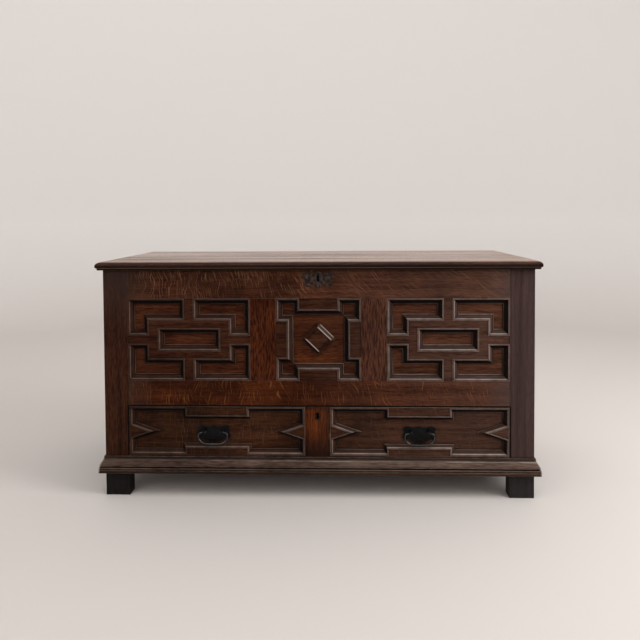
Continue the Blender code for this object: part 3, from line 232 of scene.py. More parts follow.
class Graph:
    """Short calls that build the nodes of one material."""

    def __init__(self, name):
        self.material = bpy.data.materials.new(name)
        self.material.use_nodes = True
        self.nodes = self.material.node_tree.nodes
        self.links = self.material.node_tree.links
        self.shader = self.nodes["Principled BSDF"]

    def plug(self, socket, value):
        if isinstance(value, bpy.types.NodeSocket):
            self.links.new(value, socket)
        elif socket.type == "RGBA":
            socket.default_value = (*value, 1.0)
        else:
            socket.default_value = value

    def add(self, kind, inputs=None, **settings):
        node = self.nodes.new(kind)
        for name, value in settings.items():
            setattr(node, name, value)
        for name, value in (inputs or {}).items():
            self.plug(node.inputs[name], value)
        return node

    def math(self, operation, *values):
        node = self.add("ShaderNodeMath", operation=operation)
        for socket, value in zip(node.inputs, values):
            self.plug(socket, value)
        return node.outputs[0]

    def times(self, first, *others):
        """All the numbers multiplied together."""
        product = first
        for other in others:
            product = self.math("MULTIPLY", product, other)
        return product

    def away(self, value, middle):
        """How far a number lies from a middle, on either side."""
        return self.math("ABSOLUTE", self.math("SUBTRACT", value, middle))

    def offset(self, value, middle, unit):
        """How many units a number lies past a middle."""
        return self.math("DIVIDE", self.math("SUBTRACT", value, middle), unit)

    def squares(self, first, second):
        """The sum of two squares."""
        return self.math("ADD", self.times(first, first), self.times(second, second))

    def vector(self, operation, *values):
        node = self.add("ShaderNodeVectorMath", operation=operation)
        for socket, value in zip(node.inputs, values):
            self.plug(socket, value)
        return node.outputs[0]

    def scale(self, vector, factor):
        inputs = {"Vector": vector, "Scale": factor}
        return self.add("ShaderNodeVectorMath", inputs, operation="SCALE").outputs[0]

    def split(self, vector):
        return tuple(self.add("ShaderNodeSeparateXYZ", {"Vector": vector}).outputs)

    def combine(self, x, y, z):
        return self.add("ShaderNodeCombineXYZ", {"X": x, "Y": y, "Z": z}).outputs[0]

    def noise(self, vector, scale=1.0, detail=2.0):
        inputs = {"Vector": vector, "Scale": scale, "Detail": detail}
        return self.add("ShaderNodeTexNoise", inputs).outputs["Fac"]

    def ramp(self, value, low, high, bottom=0.0, top=1.0):
        """From bottom to top as the value goes from low to high, held at both ends."""
        inputs = {"Value": value, "From Min": low, "From Max": high, "To Min": bottom, "To Max": top}
        return self.add("ShaderNodeMapRange", inputs).outputs["Result"]

    def blend(self, share, first, second):
        """A number part of the way from first to second."""
        node = self.add("ShaderNodeMix", data_type="FLOAT")
        for socket, value in zip((node.inputs[0], node.inputs[2], node.inputs[3]), (share, first, second)):
            self.plug(socket, value)
        return node.outputs[0]

    def mix(self, share, first, second, blend="MIX"):
        """A colour part of the way from first to second."""
        node = self.add("ShaderNodeMix", data_type="RGBA", blend_type=blend)
        for socket, value in zip((node.inputs[0], node.inputs[6], node.inputs[7]), (share, first, second)):
            self.plug(socket, value)
        return node.outputs[2]

    def gain(self, colour, factors):
        """A colour with each channel multiplied by its own factor."""
        return self.mix(1.0, colour, factors, "MULTIPLY")

    def crevice(self, distance, inside, local):
        """How open the surface is, from 0 in a tight corner to 1. Turned inside, 0 is on a sharp edge."""
        inputs = {"Distance": distance}
        node = self.add("ShaderNodeAmbientOcclusion", inputs, inside=inside, only_local=local, samples=8)
        return node.outputs["AO"]

    def facing(self, direction):
        """How far the surface faces along a direction of its own piece, which stays when the piece moves."""
        normal = self.add("ShaderNodeTexCoord").outputs["Normal"]
        node = self.add("ShaderNodeVectorMath", operation="DOT_PRODUCT")
        self.plug(node.inputs[0], normal)
        self.plug(node.inputs[1], direction)
        return node.outputs["Value"]

    def surface(self, colour, rough, height, strength, distance, rounding):
        """Plug the looks into the shader, with edges rounded off and the height as a bump."""
        rounded = self.add("ShaderNodeBevel", {"Radius": rounding}, samples=4).outputs[0]
        inputs = {"Strength": strength, "Distance": distance, "Height": height, "Normal": rounded}
        bump = self.add("ShaderNodeBump", inputs)
        self.plug(self.shader.inputs["Base Color"], colour)
        self.plug(self.shader.inputs["Roughness"], rough)
        self.plug(self.shader.inputs["Normal"], bump.outputs[0])


def shade(colour, factor):
    return tuple(channel * factor for channel in colour)


def grain_space(graph, grain):
    """Coordinates along and across the grain, with each piece cut from its own place in the log."""
    place = graph.add("ShaderNodeTexCoord").outputs["Object"]
    chance = graph.add("ShaderNodeObjectInfo").outputs["Random"]
    x, y, z = graph.split(graph.vector("ADD", place, graph.scale((3.1, 1.7, 2.3), chance)))
    if grain == "run":
        normal = graph.add("ShaderNodeNewGeometry").outputs["True Normal"]
        across, _, up = graph.split(graph.vector("ABSOLUTE", normal))
        upright = graph.math("GREATER_THAN", across, graph.math("ADD", up, 0.02))
        along = graph.blend(upright, x, z)
        side = graph.blend(upright, z, x)
        return place, along, side, y
    order = {"X": (x, z, y), "Y": (y, z, x), "Z": (z, x, y)}[grain]
    return (place, *order)


def stretched(graph, axes, rates, detail=2.0):
    """Noise drawn out by its own rate along each axis."""
    scaled = [graph.times(axis, rate) for axis, rate in zip(axes, rates)]
    return graph.noise(graph.combine(*scaled), 1.0, detail)


def ray_flecks(graph, place, rate, seed):
    """Silver flecks of quartered oak: thin bent strokes in patches, which lie flatter to the right."""
    x, _, z = graph.split(place)
    lean = graph.times(graph.ramp(x, -0.35, 0.30, 0.05, 1.2), graph.ramp(z, 0.36, 0.60, 0.3, 1.0))
    slant = graph.math("ADD", x, graph.times(graph.math("SUBTRACT", z, FLECK_MIDDLE), lean))
    place = graph.vector("ADD", place, (seed, 0.0, seed))
    bend = graph.times(graph.noise(place, 13.0, 1.0), rate * 0.055)
    phase = graph.math("ADD", graph.times(slant, rate), bend)
    strokes = graph.ramp(graph.away(graph.math("FRACT", phase), 0.5), 0.12, 0.02)
    each = graph.times(graph.math("FLOOR", phase), 7.3)
    pieces = graph.noise(graph.combine(each, graph.times(z, 24.0), 0.0), 1.0, 0.0)
    patches = graph.noise(place, 7.5, 1.0)
    return graph.times(strokes, graph.ramp(pieces, 0.50, 0.66), graph.ramp(patches, 0.45, 0.56))


def wood_streaks(graph, axes, mottle, calm):
    """Streaks as one share from dark to light, with the strands and fibres in them and the pores."""
    rings = stretched(graph, axes, (1.8, 80.0, 80.0), 3.0)
    strands = stretched(graph, axes, (45.0, 300.0, 300.0))
    fibres = stretched(graph, axes, (20.0, 560.0, 560.0))
    pores = graph.ramp(stretched(graph, axes, (60.0, 900.0, 900.0), 1.0), 0.56, 0.68)
    share = graph.ramp(rings, 0.3, 0.7, mottle - 1.05, 1.05 - mottle)
    share = graph.math("ADD", share, graph.ramp(strands, 0.3, 0.7, -mottle, mottle))
    share = graph.math("ADD", share, graph.ramp(fibres, 0.3, 0.7, -0.42, 0.42))
    return graph.ramp(share, -calm, calm), strands, fibres, pores


def mould_light(graph, colour, x, y, chafe, look):
    """Ribs of a moulding: painted highlights where they face up and to the right, painted shade where they
    face down and to the left, and painted shade in the hollows and quirks.
    """
    turned = graph.facing(UP_AND_RIGHT)
    if look["ribs"]:
        outer, inner = look["ribs"]
        nearest = graph.math("MINIMUM", graph.away(y, outer), graph.away(y, inner))
        rib = graph.ramp(nearest, *RIB_REACH, 0.05, 1.0)
        # Painted shade in the hollow between the two ribs
        below = graph.ramp(y, outer + HOLLOW_START, outer + HOLLOW_FULL)
        above = graph.ramp(y, inner - HOLLOW_START, inner - HOLLOW_FULL, 0.0, 0.45)
        colour = graph.mix(graph.times(below, above), colour, DIRT_COLOUR)
    else:
        rib = graph.ramp(graph.crevice(0.003, True, True), 0.85, 0.58, 0.30, 1.0)
    # Painted highlight on ribs that face up and to the right, stronger towards the right
    caught = graph.times(graph.ramp(turned, 0.12, 0.55), rib, chafe)
    lit = graph.times(caught, graph.ramp(x, *RUB_SPAN, 0.34 * look["lit"], look["lit"]))
    colour = graph.mix(lit, colour, graph.mix(graph.ramp(x, *RUB_SPAN), RIB_WARM, RIB_COOL))
    # Painted shade on the slopes that face down and to the left
    shut = graph.ramp(turned, -0.08, -0.42, 0.0, 0.88)
    colour = graph.mix(shut, colour, DIRT_COLOUR)
    # Painted shade in the quirks, from how open the surface is
    groove = graph.ramp(graph.crevice(0.0035, False, True), 0.50, 0.93)
    return graph.mix(groove, DIRT_COLOUR, colour)


def base_dirt(graph, colour, place, axes, blotch, dust):
    """A dusting and painted light on the up-facing parts of the base moulding, stronger to the right; painted
    shadow under its top, a painted highlight line along it, painted shade in its grooves, and darker along
    its bottom edge.
    """
    x, _, z = graph.split(place)
    streak = graph.math("ADD", stretched(graph, axes, (30.0, 300.0, 300.0)), graph.times(blotch, 0.6))
    upward = graph.ramp(graph.facing(UPWARD), 0.0, 0.5)
    # A dusting and painted light on faces that look up, more to the right
    lying = graph.times(upward, graph.ramp(streak, 0.55, 1.0), graph.ramp(x, *DUST_SPAN, 0.5, 1.0), dust)
    colour = graph.mix(lying, colour, DUST_COLOUR)
    # Painted shadow under the rail and posts above
    colour = graph.mix(graph.ramp(z, *BASE_BAND, 0.0, 0.62), colour, DIRT_COLOUR)
    # Painted highlight: a broken pale line along the top, stronger to the right
    line = graph.ramp(graph.away(z, BASE_STREAK), 0.0018, 0.0005)
    broken = graph.ramp(graph.noise(place, 9.0, 3.0), 0.40, 0.60)
    line = graph.times(line, broken, graph.ramp(x, *STREAK_SPAN, 0.20, 0.90))
    colour = graph.mix(line, colour, STREAK_COLOUR)
    # Darker along the bottom edge
    colour = graph.mix(graph.ramp(z, *BASE_EDGE, 0.0, 0.7), colour, DIRT_COLOUR)
    # Painted shade line along the quirk between slope and bead
    colour = graph.mix(graph.ramp(graph.away(z, BASE_GROOVE), 0.0030, 0.0018), colour, DIRT_COLOUR)
    # Painted shade in the grooves, from how open the surface is
    groove = graph.ramp(graph.crevice(0.004, False, True), 0.55, 0.95)
    return graph.mix(groove, DIRT_COLOUR, colour)


def foot_black(graph, colour, x, z, share):
    """The feet, almost black, and painted paler to the right as light from that side."""
    black = graph.scale(graph.mix(share, *FOOT_TONES), graph.ramp(x, *FRONT_SPAN, 1.0, 2.0))
    return graph.mix(graph.ramp(z, *FOOT_TOP), colour, black)


def bare_wood(graph, colour, inward, share, grime):
    """Dry wood that was never waxed, on the faces that look into the chest."""
    bare = graph.mix(share, shade(DRY_TONE, 0.68), shade(DRY_TONE, 1.25))
    # Darker in corners from dirt and painted shade
    bare = graph.mix(grime, shade(DRY_TONE, 0.12), bare)
    return graph.mix(graph.ramp(inward, 0.6, 0.8), colour, bare)


def oak(name, tone, grain, **look):
    """Old waxed oak: streaks, pores and flecks, with worn and polished arrises, painted highlights and sheen,
    and dirt and painted shade in the corners.
    """
    look = {**PLAIN_LOOK, **look}
    graph = Graph(name)
    place, along, side, deep = grain_space(graph, grain)
    x, y, z = graph.split(place)
    level = graph.ramp(graph.facing(UPWARD), 0.88, 0.995)
    sway = graph.times(graph.math("SUBTRACT", graph.noise(place, 3.0, 2.0), 0.5), 0.03)
    axes = (along, graph.math("ADD", side, sway), deep)
    share, strands, fibres, pores = wood_streaks(graph, axes, look["mottle"], look["calm"])
    blotch = graph.noise(place, 7.0, 3.0)

    # Clean wood, with painted light on the lid's top and painted sheen towards the right
    tint = tone
    # Painted light: the lid's top face is much paler than its edges, as light falls on it
    if look["top_tone"]:
        broad = graph.ramp(stretched(graph, axes, (1.1, 1.0, 16.0), 3.0), 0.36, 0.64)
        top = graph.mix(broad, shade(look["top_tone"], 0.60), shade(look["top_tone"], 1.30))
        tint = graph.mix(level, tone, top)
    colour = graph.mix(share, graph.gain(tint, DARK_STREAK), graph.gain(tint, LIGHT_STREAK))
    colour = graph.mix(graph.ramp(blotch, 0.35, 0.62), graph.gain(colour, look["stain"]), colour)
    colour = graph.mix(graph.times(pores, 0.55), colour, shade(tone, 0.2))
    # Painted sheen: paler and greyer towards the right, where the light falls
    faded = graph.ramp(x, *FADE_SPAN, 0.0, look["fade"])
    colour = graph.mix(faded, colour, graph.mix(share, *look["faded"]))
    if look["fleck"]:
        silver = tuple(channel * gain for channel, gain in zip(tone, FLECK_GAIN))
        for rate, seed, strength in FLECKS:
            rays = graph.times(ray_flecks(graph, place, rate, seed), look["fleck"] * strength)
            colour = graph.mix(rays, colour, silver)

    # Wear and dirt, with painted highlights and painted shade
    chafe = graph.ramp(graph.noise(place, 45.0, 3.0), 0.25, 0.62)
    edge = graph.ramp(graph.crevice(look["arris"], True, True), 0.90, 0.58)
    if look["carved"]:
        patchy = graph.ramp(chafe, 0.0, 1.0, 0.45, 1.0)
        # On the mouldings the pale line on the fillet is wear and a painted highlight, stronger towards the
        # right
        rubbed = graph.times(edge, patchy, graph.ramp(y, *FILLET_TOP), graph.ramp(x, *RUB_SPAN, 0.16, 1.0))
        colour = mould_light(graph, colour, x, y, graph.ramp(chafe, 0.0, 1.0, 0.5, 1.0), look)
    else:
        rubbed = graph.times(edge, chafe)
    colour = graph.mix(graph.times(rubbed, look["wear"]), colour, WORN_COLOUR)
    # Dirt and painted shade: darker in corners, recesses and between parts, from how open the surface is
    grime = graph.ramp(graph.crevice(0.014, False, False), 0.35, 0.92)
    colour = graph.mix(grime, graph.gain(colour, GRIME_GAIN), colour)
    if look["dust"]:
        colour = base_dirt(graph, colour, place, axes, blotch, look["dust"])
    if look["bare"]:
        colour = bare_wood(graph, colour, look["bare"](graph, x), share, grime)
    if look["foot"]:
        colour = foot_black(graph, colour, x, z, share)
    # Painted light: a patch made brighter and more orange
    if look["glow"]:
        colour = graph.mix(look["glow"](graph, place), colour, graph.gain(colour, GLOW_GAIN))
    # Grey bloom on some pieces, painted sheen and painted highlights on others
    if look["haze"]:
        dulled, bloom = look["haze"](graph, place)
        colour = graph.mix(dulled, colour, bloom)
    # Dark marks: dirt, keyhole wear and joints, and painted shadow and shade in gaps and under edges
    for seam in look["seams"]:
        colour = graph.mix(seam(graph, place), colour, DIRT_COLOUR)

    # Wax and relief
    uneven = graph.math("ADD", graph.times(blotch, 0.5), pores)
    rough = graph.ramp(uneven, 0.2, 1.2, look["rough"] - 0.06, look["rough"] + 0.2)
    rough = graph.times(rough, graph.ramp(rubbed, 0.0, 1.0, 1.0, 0.70))
    polish = graph.ramp(rubbed, 0.0, 1.0, OAK_SHINE, OAK_SHINE + 0.3 * look["wear"])
    if look["top_tone"]:
        sheen = graph.ramp(broad, 0.0, 1.0, 0.66, 0.34)
        rough = graph.times(rough, graph.blend(level, 1.0, sheen))
        waxed = graph.times(level, graph.ramp(broad, 0.0, 1.0, 0.05, 1.25))
        waxed = graph.times(waxed, graph.ramp(x, *FRONT_SPAN, 0.75, 1.45))
        polish = graph.math("ADD", polish, waxed)
    height = graph.math("SUBTRACT", graph.times(fibres, 0.5), graph.times(pores, 0.6))
    height = graph.math("ADD", height, graph.times(strands, 0.6))
    graph.plug(graph.shader.inputs["Specular IOR Level"], polish)
    graph.surface(colour, rough, height, strength=0.4, distance=0.0007, rounding=0.0012)
    return graph.material


def inner_front(graph, _):
    return graph.facing(BACKWARD)


def outer_end(graph, x):
    return graph.times(graph.facing(RIGHTWARD), graph.math("SIGN", x))


def inner_end(graph, x):
    return graph.times(outer_end(graph, x), -1.0)


def all_but_end(graph, x):
    """Every face of a rear post but the one on the end of the chest."""
    return graph.math("SUBTRACT", 1.0, outer_end(graph, x))


def under_side(graph, _):
    return graph.facing(DOWNWARD)


def front_face(graph):
    return graph.ramp(graph.facing(FRONTWARD), 0.6, 0.8)


def drawer_seam(graph, place):
    """Painted shadow in the gap over the drawers, seen on the edge of the rail."""
    z = graph.split(place)[2]
    return graph.times(graph.ramp(z, *DRAWER_GAP_TOP), graph.ramp(z, *DRAWER_GAP_FOOT))


def rail_haze(graph, place):
    """Grey bloom on the front of the rails where they meet the posts, painted paler to the right as sheen
    from the light on that side.
    """
    x = graph.split(place)[0]
    ends = graph.ramp(graph.math("ABSOLUTE", x), *RAIL_END, 0.0, 0.60)
    bloom = graph.mix(graph.ramp(x, *FRONT_SPAN), *RAIL_BLOOM)
    return graph.times(ends, front_face(graph)), bloom


def stile_haze(graph, place):
    """Grey bloom on the upper front of the left post."""
    high = graph.ramp(graph.split(place)[2], 0.50, 0.70, 0.0, 0.65)
    return graph.times(high, front_face(graph)), POST_BLOOM


def stile_foot(graph, place):
    """The lower part of the left post, darker towards the bottom."""
    return graph.ramp(graph.split(place)[2], 0.32, 0.14, 0.0, 0.20)


def stile_seam(graph, place):
    """Painted shadow in the gap at the outer end of the drawer, seen on the edge of the post."""
    x, _, z = graph.split(place)
    edge = graph.ramp(graph.math("ABSOLUTE", x), *POST_EDGE)
    return graph.times(edge, graph.ramp(z, *POST_GAP_FOOT), graph.ramp(z, *POST_GAP_TOP))


def divider_glow(graph, place):
    """Painted highlight: the divider brighter and more orange below and left of the keyhole."""
    x, _, z = graph.split(place)
    across = graph.ramp(x, 0.026, -0.004)
    return graph.times(across, graph.ramp(z, 0.165, 0.215), graph.ramp(z, 0.276, 0.262))


def field_glow(graph, place):
    """Painted light: the lower part of the middle panel brighter and more orange."""
    x, _, z = graph.split(place)
    across = graph.ramp(graph.math("ABSOLUTE", x), 0.085, 0.045)
    return graph.times(across, graph.ramp(z, 0.470, 0.415, 0.0, 0.75))


def divider_foot(graph, place):
    """The divider, darker towards its foot."""
    return graph.ramp(graph.split(place)[2], 0.190, 0.140, 0.0, 0.60)


def divider_keyhole(graph, place):
    """Finger dirt round the keyhole of the divider."""
    x, _, z = graph.split(place)
    across = graph.times(x, 1.25)
    up = graph.times(graph.math("SUBTRACT", z, DIVIDER_KEYHOLE), 0.8)
    return graph.ramp(graph.math("SQRT", graph.squares(across, up)), 0.016, 0.006, 0.0, 0.9)


def handle_grime(graph, place):
    """Black on the drawer fronts in the half round that each bail hangs over: dirt from hands, and painted
    shadow cast by the bail and its plate.
    """
    x, _, z = graph.split(place)
    share = 0.0
    for bail in ("left_bail", "right_bail"):
        low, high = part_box(bail)
        across = graph.offset(x, (low[0] + high[0]) / 2, (high[0] - low[0]) / 2)
        up = graph.offset(z, high[2], high[2] - low[2])
        inside = graph.ramp(graph.squares(across, up), 1.0, 0.75)
        below = graph.ramp(z, high[2], high[2] - GRIME_FADE)
        share = graph.math("MAXIMUM", share, graph.times(inside, below))
    return graph.times(share, 0.86)


def lozenge_rubbing(graph, place):
    """Painted highlights on the fillet and bead of the lozenge's upper right side and inside its lower left
    one.
    """
    x, _, z = graph.split(place)
    across = graph.offset(x, LOZENGE_MIDDLE[0], LOZENGE_HALVES[0])
    up = graph.offset(z, LOZENGE_MIDDLE[1], LOZENGE_HALVES[1])
    outward = graph.math("ADD", across, up)
    share = 0.0
    for middle, strength in LOZENGE_LINES:
        line = graph.ramp(graph.away(outward, middle), 0.050, 0.030, 0.0, strength)
        share = graph.math("MAXIMUM", share, line)
    return graph.times(share, graph.ramp(graph.away(across, up), 0.80, 0.68, 0.0, 0.9)), RIB_COOL


def lid_edge_dirt(graph, place):
    """The lower half of the lid's moulded edge, painted black as shade under the nose, and not the underside.
    """
    z = graph.split(place)[2]
    upward = graph.ramp(graph.facing(DOWNWARD), 0.8, 0.6)
    return graph.times(graph.ramp(z, *LID_EDGE, 0.0, 0.74), upward)


def board_joint(graph, place):
    """The glued joint between the two boards of the lid."""
    y = graph.split(place)[1]
    wander = graph.times(graph.noise(place, 2.0, 2.0), 0.004)
    return graph.ramp(graph.away(graph.math("ADD", y, wander), LID_JOINT), 0.0022, 0.0008, 0.0, 0.85)


def iron(name, tone=IRON_TONE, stain=IRON_STAIN, bright=0.5, metal=0.8, rough=0.36):
    """Blackened wrought iron: hammered, a little rusty and rubbed bright on the edges."""
    graph = Graph(name)
    place = graph.add("ShaderNodeTexCoord").outputs["Object"]
    hammer = graph.noise(place, 160.0, 2.0)
    cloud = graph.noise(place, 110.0, 3.0)
    colour = graph.mix(graph.ramp(cloud, 0.42, 0.66), tone, stain)
    edge = graph.ramp(graph.crevice(0.0008, True, True), 0.9, 0.5)
    colour = graph.mix(graph.times(edge, graph.ramp(cloud, 0.35, 0.6), bright), colour, IRON_BRIGHT)
    graph.shader.inputs["Metallic"].default_value = metal
    graph.shader.inputs["Specular IOR Level"].default_value = 0.1
    uneven = graph.ramp(cloud, 0.3, 0.7, rough, rough + 0.2)
    graph.surface(colour, uneven, hammer, strength=0.5, distance=0.0006, rounding=0.0006)
    return graph.material


def geometry_group(name, build):
    """A geometry node group that passes the mesh through what build makes."""
    group = bpy.data.node_groups.new(name, "GeometryNodeTree")
    for way in ("INPUT", "OUTPUT"):
        group.interface.new_socket("Geometry", in_out=way, socket_type="NodeSocketGeometry")
    start, end = group.nodes.new("NodeGroupInput"), group.nodes.new("NodeGroupOutput")
    group.links.new(build(group, start.outputs[0]), end.inputs[0])
    return group


def weld_nodes(group, mesh):
    merge = group.nodes.new("GeometryNodeMergeByDistance")
    merge.inputs["Distance"].default_value = WELD_REACH
    group.links.new(mesh, merge.inputs[0])
    free = group.nodes.new("GeometryNodeRemoveAttribute")
    free.inputs["Name"].default_value = "custom_normal"
    group.links.new(merge.outputs[0], free.inputs[0])
    return free.outputs[0]


def smooth_nodes(group, mesh):
    smooth = group.nodes.new("GeometryNodeSetShadeSmooth")
    group.links.new(mesh, smooth.inputs[0])
    angle = group.nodes.new("GeometryNodeInputMeshEdgeAngle")
    steep = group.nodes.new("ShaderNodeMath")
    steep.operation = "GREATER_THAN"
    steep.inputs[1].default_value = math.radians(SMOOTH_ANGLE)
    group.links.new(angle.outputs["Unsigned Angle"], steep.inputs[0])
    sharp = group.nodes.new("GeometryNodeSetShadeSmooth")
    sharp.domain = "EDGE"
    sharp.inputs["Shade Smooth"].default_value = False
    group.links.new(smooth.outputs[0], sharp.inputs[0])
    group.links.new(steep.outputs[0], sharp.inputs["Selection"])
    return sharp.outputs[0]


WELD = geometry_group("weld_facets", weld_nodes)
SMOOTH = geometry_group("smooth_by_angle", smooth_nodes)


def soften(node, width):
    """Take the sharp edges off a CAD node with modifiers, and leave its mesh as it is."""
    node.modifiers.new("weld_facets", "NODES").node_group = WELD
    if width:
        flat = node.modifiers.new("flat_faces", "DECIMATE")
        flat.decimate_type = "DISSOLVE"
        flat.angle_limit = math.radians(FLAT_ANGLE)
        bevel = node.modifiers.new("worn_edges", "BEVEL")
        bevel.width = width
        bevel.segments = 2
        bevel.limit_method = "ANGLE"
        bevel.angle_limit = math.radians(BEVEL_ANGLE)
    node.modifiers.new("smooth_by_angle", "NODES").node_group = SMOOTH
    node.modifiers.new("flat_shading", "WEIGHTED_NORMAL").keep_sharp = True


def dress(names, material, width=0.0):
    for name in names:
        node = NODES[name]
        node.data.materials.clear()
        node.data.materials.append(material)
        soften(node, width)


def dress_posts():
    left = oak(
        "stile_left_oak", (0.0345, 0.0118, 0.0056), "Z", foot=True, bare=inner_front,
        haze=stile_haze, seams=[stile_seam, stile_foot],
    )
    dress(["front_left_stile"], left, EDGE_ROUNDING)
    right = oak(
        "stile_right_oak", (0.0305, 0.0124, 0.0104), "Z", foot=True, bare=inner_front,
        fade=0.62, faded=FADED_COOL, mottle=0.3, calm=1.0, seams=[stile_seam],
    )
    dress(["front_right_stile"], right, EDGE_ROUNDING)
    rear = oak("rear_stile_oak", (0.0340, 0.0125, 0.0068), "Z", foot=True, bare=all_but_end, calm=1.0)
    dress(["rear_left_stile", "rear_right_stile"], rear, EDGE_ROUNDING)


def dress_front():
    """The rails, muntins and divider of the front, with the panels between them."""
    rail = oak(
        "rail_oak", (0.0540, 0.0131, 0.0036), "X", fleck=0.95, stain=(0.48, 0.44, 0.42), bare=inner_front,
        calm=1.0, fade=0.52, haze=rail_haze, seams=[drawer_seam],
    )
    dress(["front_mid_rail", "front_bottom_rail"], rail, EDGE_ROUNDING)
    rail = oak(
        "top_rail_oak", (0.0615, 0.0205, 0.0097), "X", fleck=0.95, stain=(0.45, 0.42, 0.40), bare=inner_front,
        calm=1.0, fade=0.52, haze=rail_haze,
    )
    dress(["front_top_rail"], rail, EDGE_ROUNDING)
    muntin = oak(
        "muntin_oak", (0.0455, 0.0110, 0.0033), "Z", bare=inner_front, fade=0.80, mottle=0.85, calm=0.52
    )
    dress(["left_front_muntin", "right_front_muntin"], muntin, EDGE_ROUNDING)
    divider = oak(
        "divider_oak", (0.0420, 0.0112, 0.0038), "Z", bare=inner_front,
        glow=divider_glow, seams=[divider_keyhole, divider_foot],
    )
    dress(["drawer_divider"], divider, EDGE_ROUNDING)
    panel = oak(
        "panel_oak", (0.0570, 0.0170, 0.0068), "X", wear=0.0, bare=inner_front,
        fade=0.58, faded=FADED_RED, calm=0.75, glow=field_glow,
    )
    dress(["left_front_panel", "centre_front_panel", "right_front_panel"], panel, BOARD_ROUNDING)


def dress_mouldings():
    """The panel mouldings, the lozenge and the drawer fronts, whose edges the CAD has shaped already."""
    moulding = oak(
        "moulding_oak", (0.0385, 0.0128, 0.0060), "run", wear=0.95, arris=0.0015, fade=0.56,
        carved=True, ribs=PANEL_RIBS,
    )
    dress(["left_panel_moulding", "centre_panel_moulding", "right_panel_moulding"], moulding)
    lozenge = oak(
        "lozenge_oak", (0.0430, 0.0150, 0.0072), "run", wear=0.12, carved=True, lit=0.3, haze=lozenge_rubbing
    )
    dress(["lozenge_boss"], lozenge)
    drawer = oak(
        "drawer_front_oak", (0.0405, 0.0146, 0.0066), "run", fleck=0.4, bare=inner_front,
        wear=0.75, arris=0.0014, carved=True, ribs=DRAWER_RIBS, lit=0.62, fade=0.45, calm=1.1,
        stain=(0.50, 0.52, 0.48), seams=[handle_grime],
    )
    dress(["left_drawer_front", "right_drawer_front"], drawer)


def dress_ends_and_base():
    end = oak("end_rail_oak", (0.0320, 0.0120, 0.0068), "Y", bare=inner_end)
    board = oak("end_board_oak", (0.0320, 0.0120, 0.0068), "Y", wear=0.0, bare=inner_end)
    for side in ("left", "right"):
        dress([f"{side}_end_top_rail", f"{side}_end_mid_rail"], end, END_ROUNDING)
        dress([f"{side}_end_panel", f"{side}_end_lower_board"], board, BOARD_ROUNDING)
    base = oak("base_oak", (0.0380, 0.0205, 0.0137), "X", wear=0.7, dust=0.75, calm=1.2)
    dress(["base_moulding_front"], base, EDGE_ROUNDING)
    base = oak("base_end_oak", (0.0380, 0.0205, 0.0137), "Y", wear=0.7, dust=0.75, calm=1.2)
    dress(["base_moulding_left", "base_moulding_right"], base, EDGE_ROUNDING)


def dress_lid():
    lid = oak(
        "lid_oak", (0.0450, 0.0205, 0.0155), "X", top_tone=(0.220, 0.112, 0.0630), bare=under_side,
        wear=0.0, fade=0.05, mottle=0.45, calm=1.1, seams=[board_joint, lid_edge_dirt],
    )
    dress(["lid"], lid, LID_ROUNDING)


def dress_dry_wood():
    """The back, the floor of the well and the drawer boxes, which were never waxed."""
    dry = {"wear": 0.1, "rough": 0.7, "mottle": 0.3, "calm": 1.3}
    names = ["back_top_rail", "back_mid_rail", "back_panel", "back_lower_board"]
    names += ["well_floor_front_board", "well_floor_rear_board"]
    names += [f"{side}_drawer_{board}" for side in ("left", "right") for board in ("back", "bottom")]
    dress(names, oak("dry_oak_cross", DRY_TONE, "X", **dry), EDGE_ROUNDING)
    names = [f"{place}_drawer_runner" for place in ("left", "centre", "right")]
    names += [f"{side}_drawer_{hand}_side" for side in ("left", "right") for hand in ("left", "right")]
    dress(names, oak("dry_oak_deep", DRY_TONE, "Y", **dry), EDGE_ROUNDING)


def dress_iron():
    """Black iron, with bails polished by hands and an escutcheon gone as brown as the wood."""
    black = iron("black_iron")
    names = ["lock_case", "lock_bolt", "lock_staple"]
    for side in ("left", "right"):
        names += [f"{side}_hinge_strap", f"{side}_hinge_leaf"]
    dress(names, black)
    backing = iron("plate_iron", (0.0085, 0.0092, 0.0100), (0.0135, 0.0130, 0.0130))
    dress(["left_handle_plate", "right_handle_plate"], backing)
    handled = iron(
        "handled_iron", (0.045, 0.046, 0.048), (0.062, 0.060, 0.058), bright=0.6, metal=1.0, rough=0.10
    )
    dress(["left_bail", "right_bail"], handled)
    plate = iron("worn_plate", (0.012, 0.0074, 0.0060), (0.052, 0.033, 0.027), bright=0.2, metal=0.0)
    dress(["lock_escutcheon"], plate)


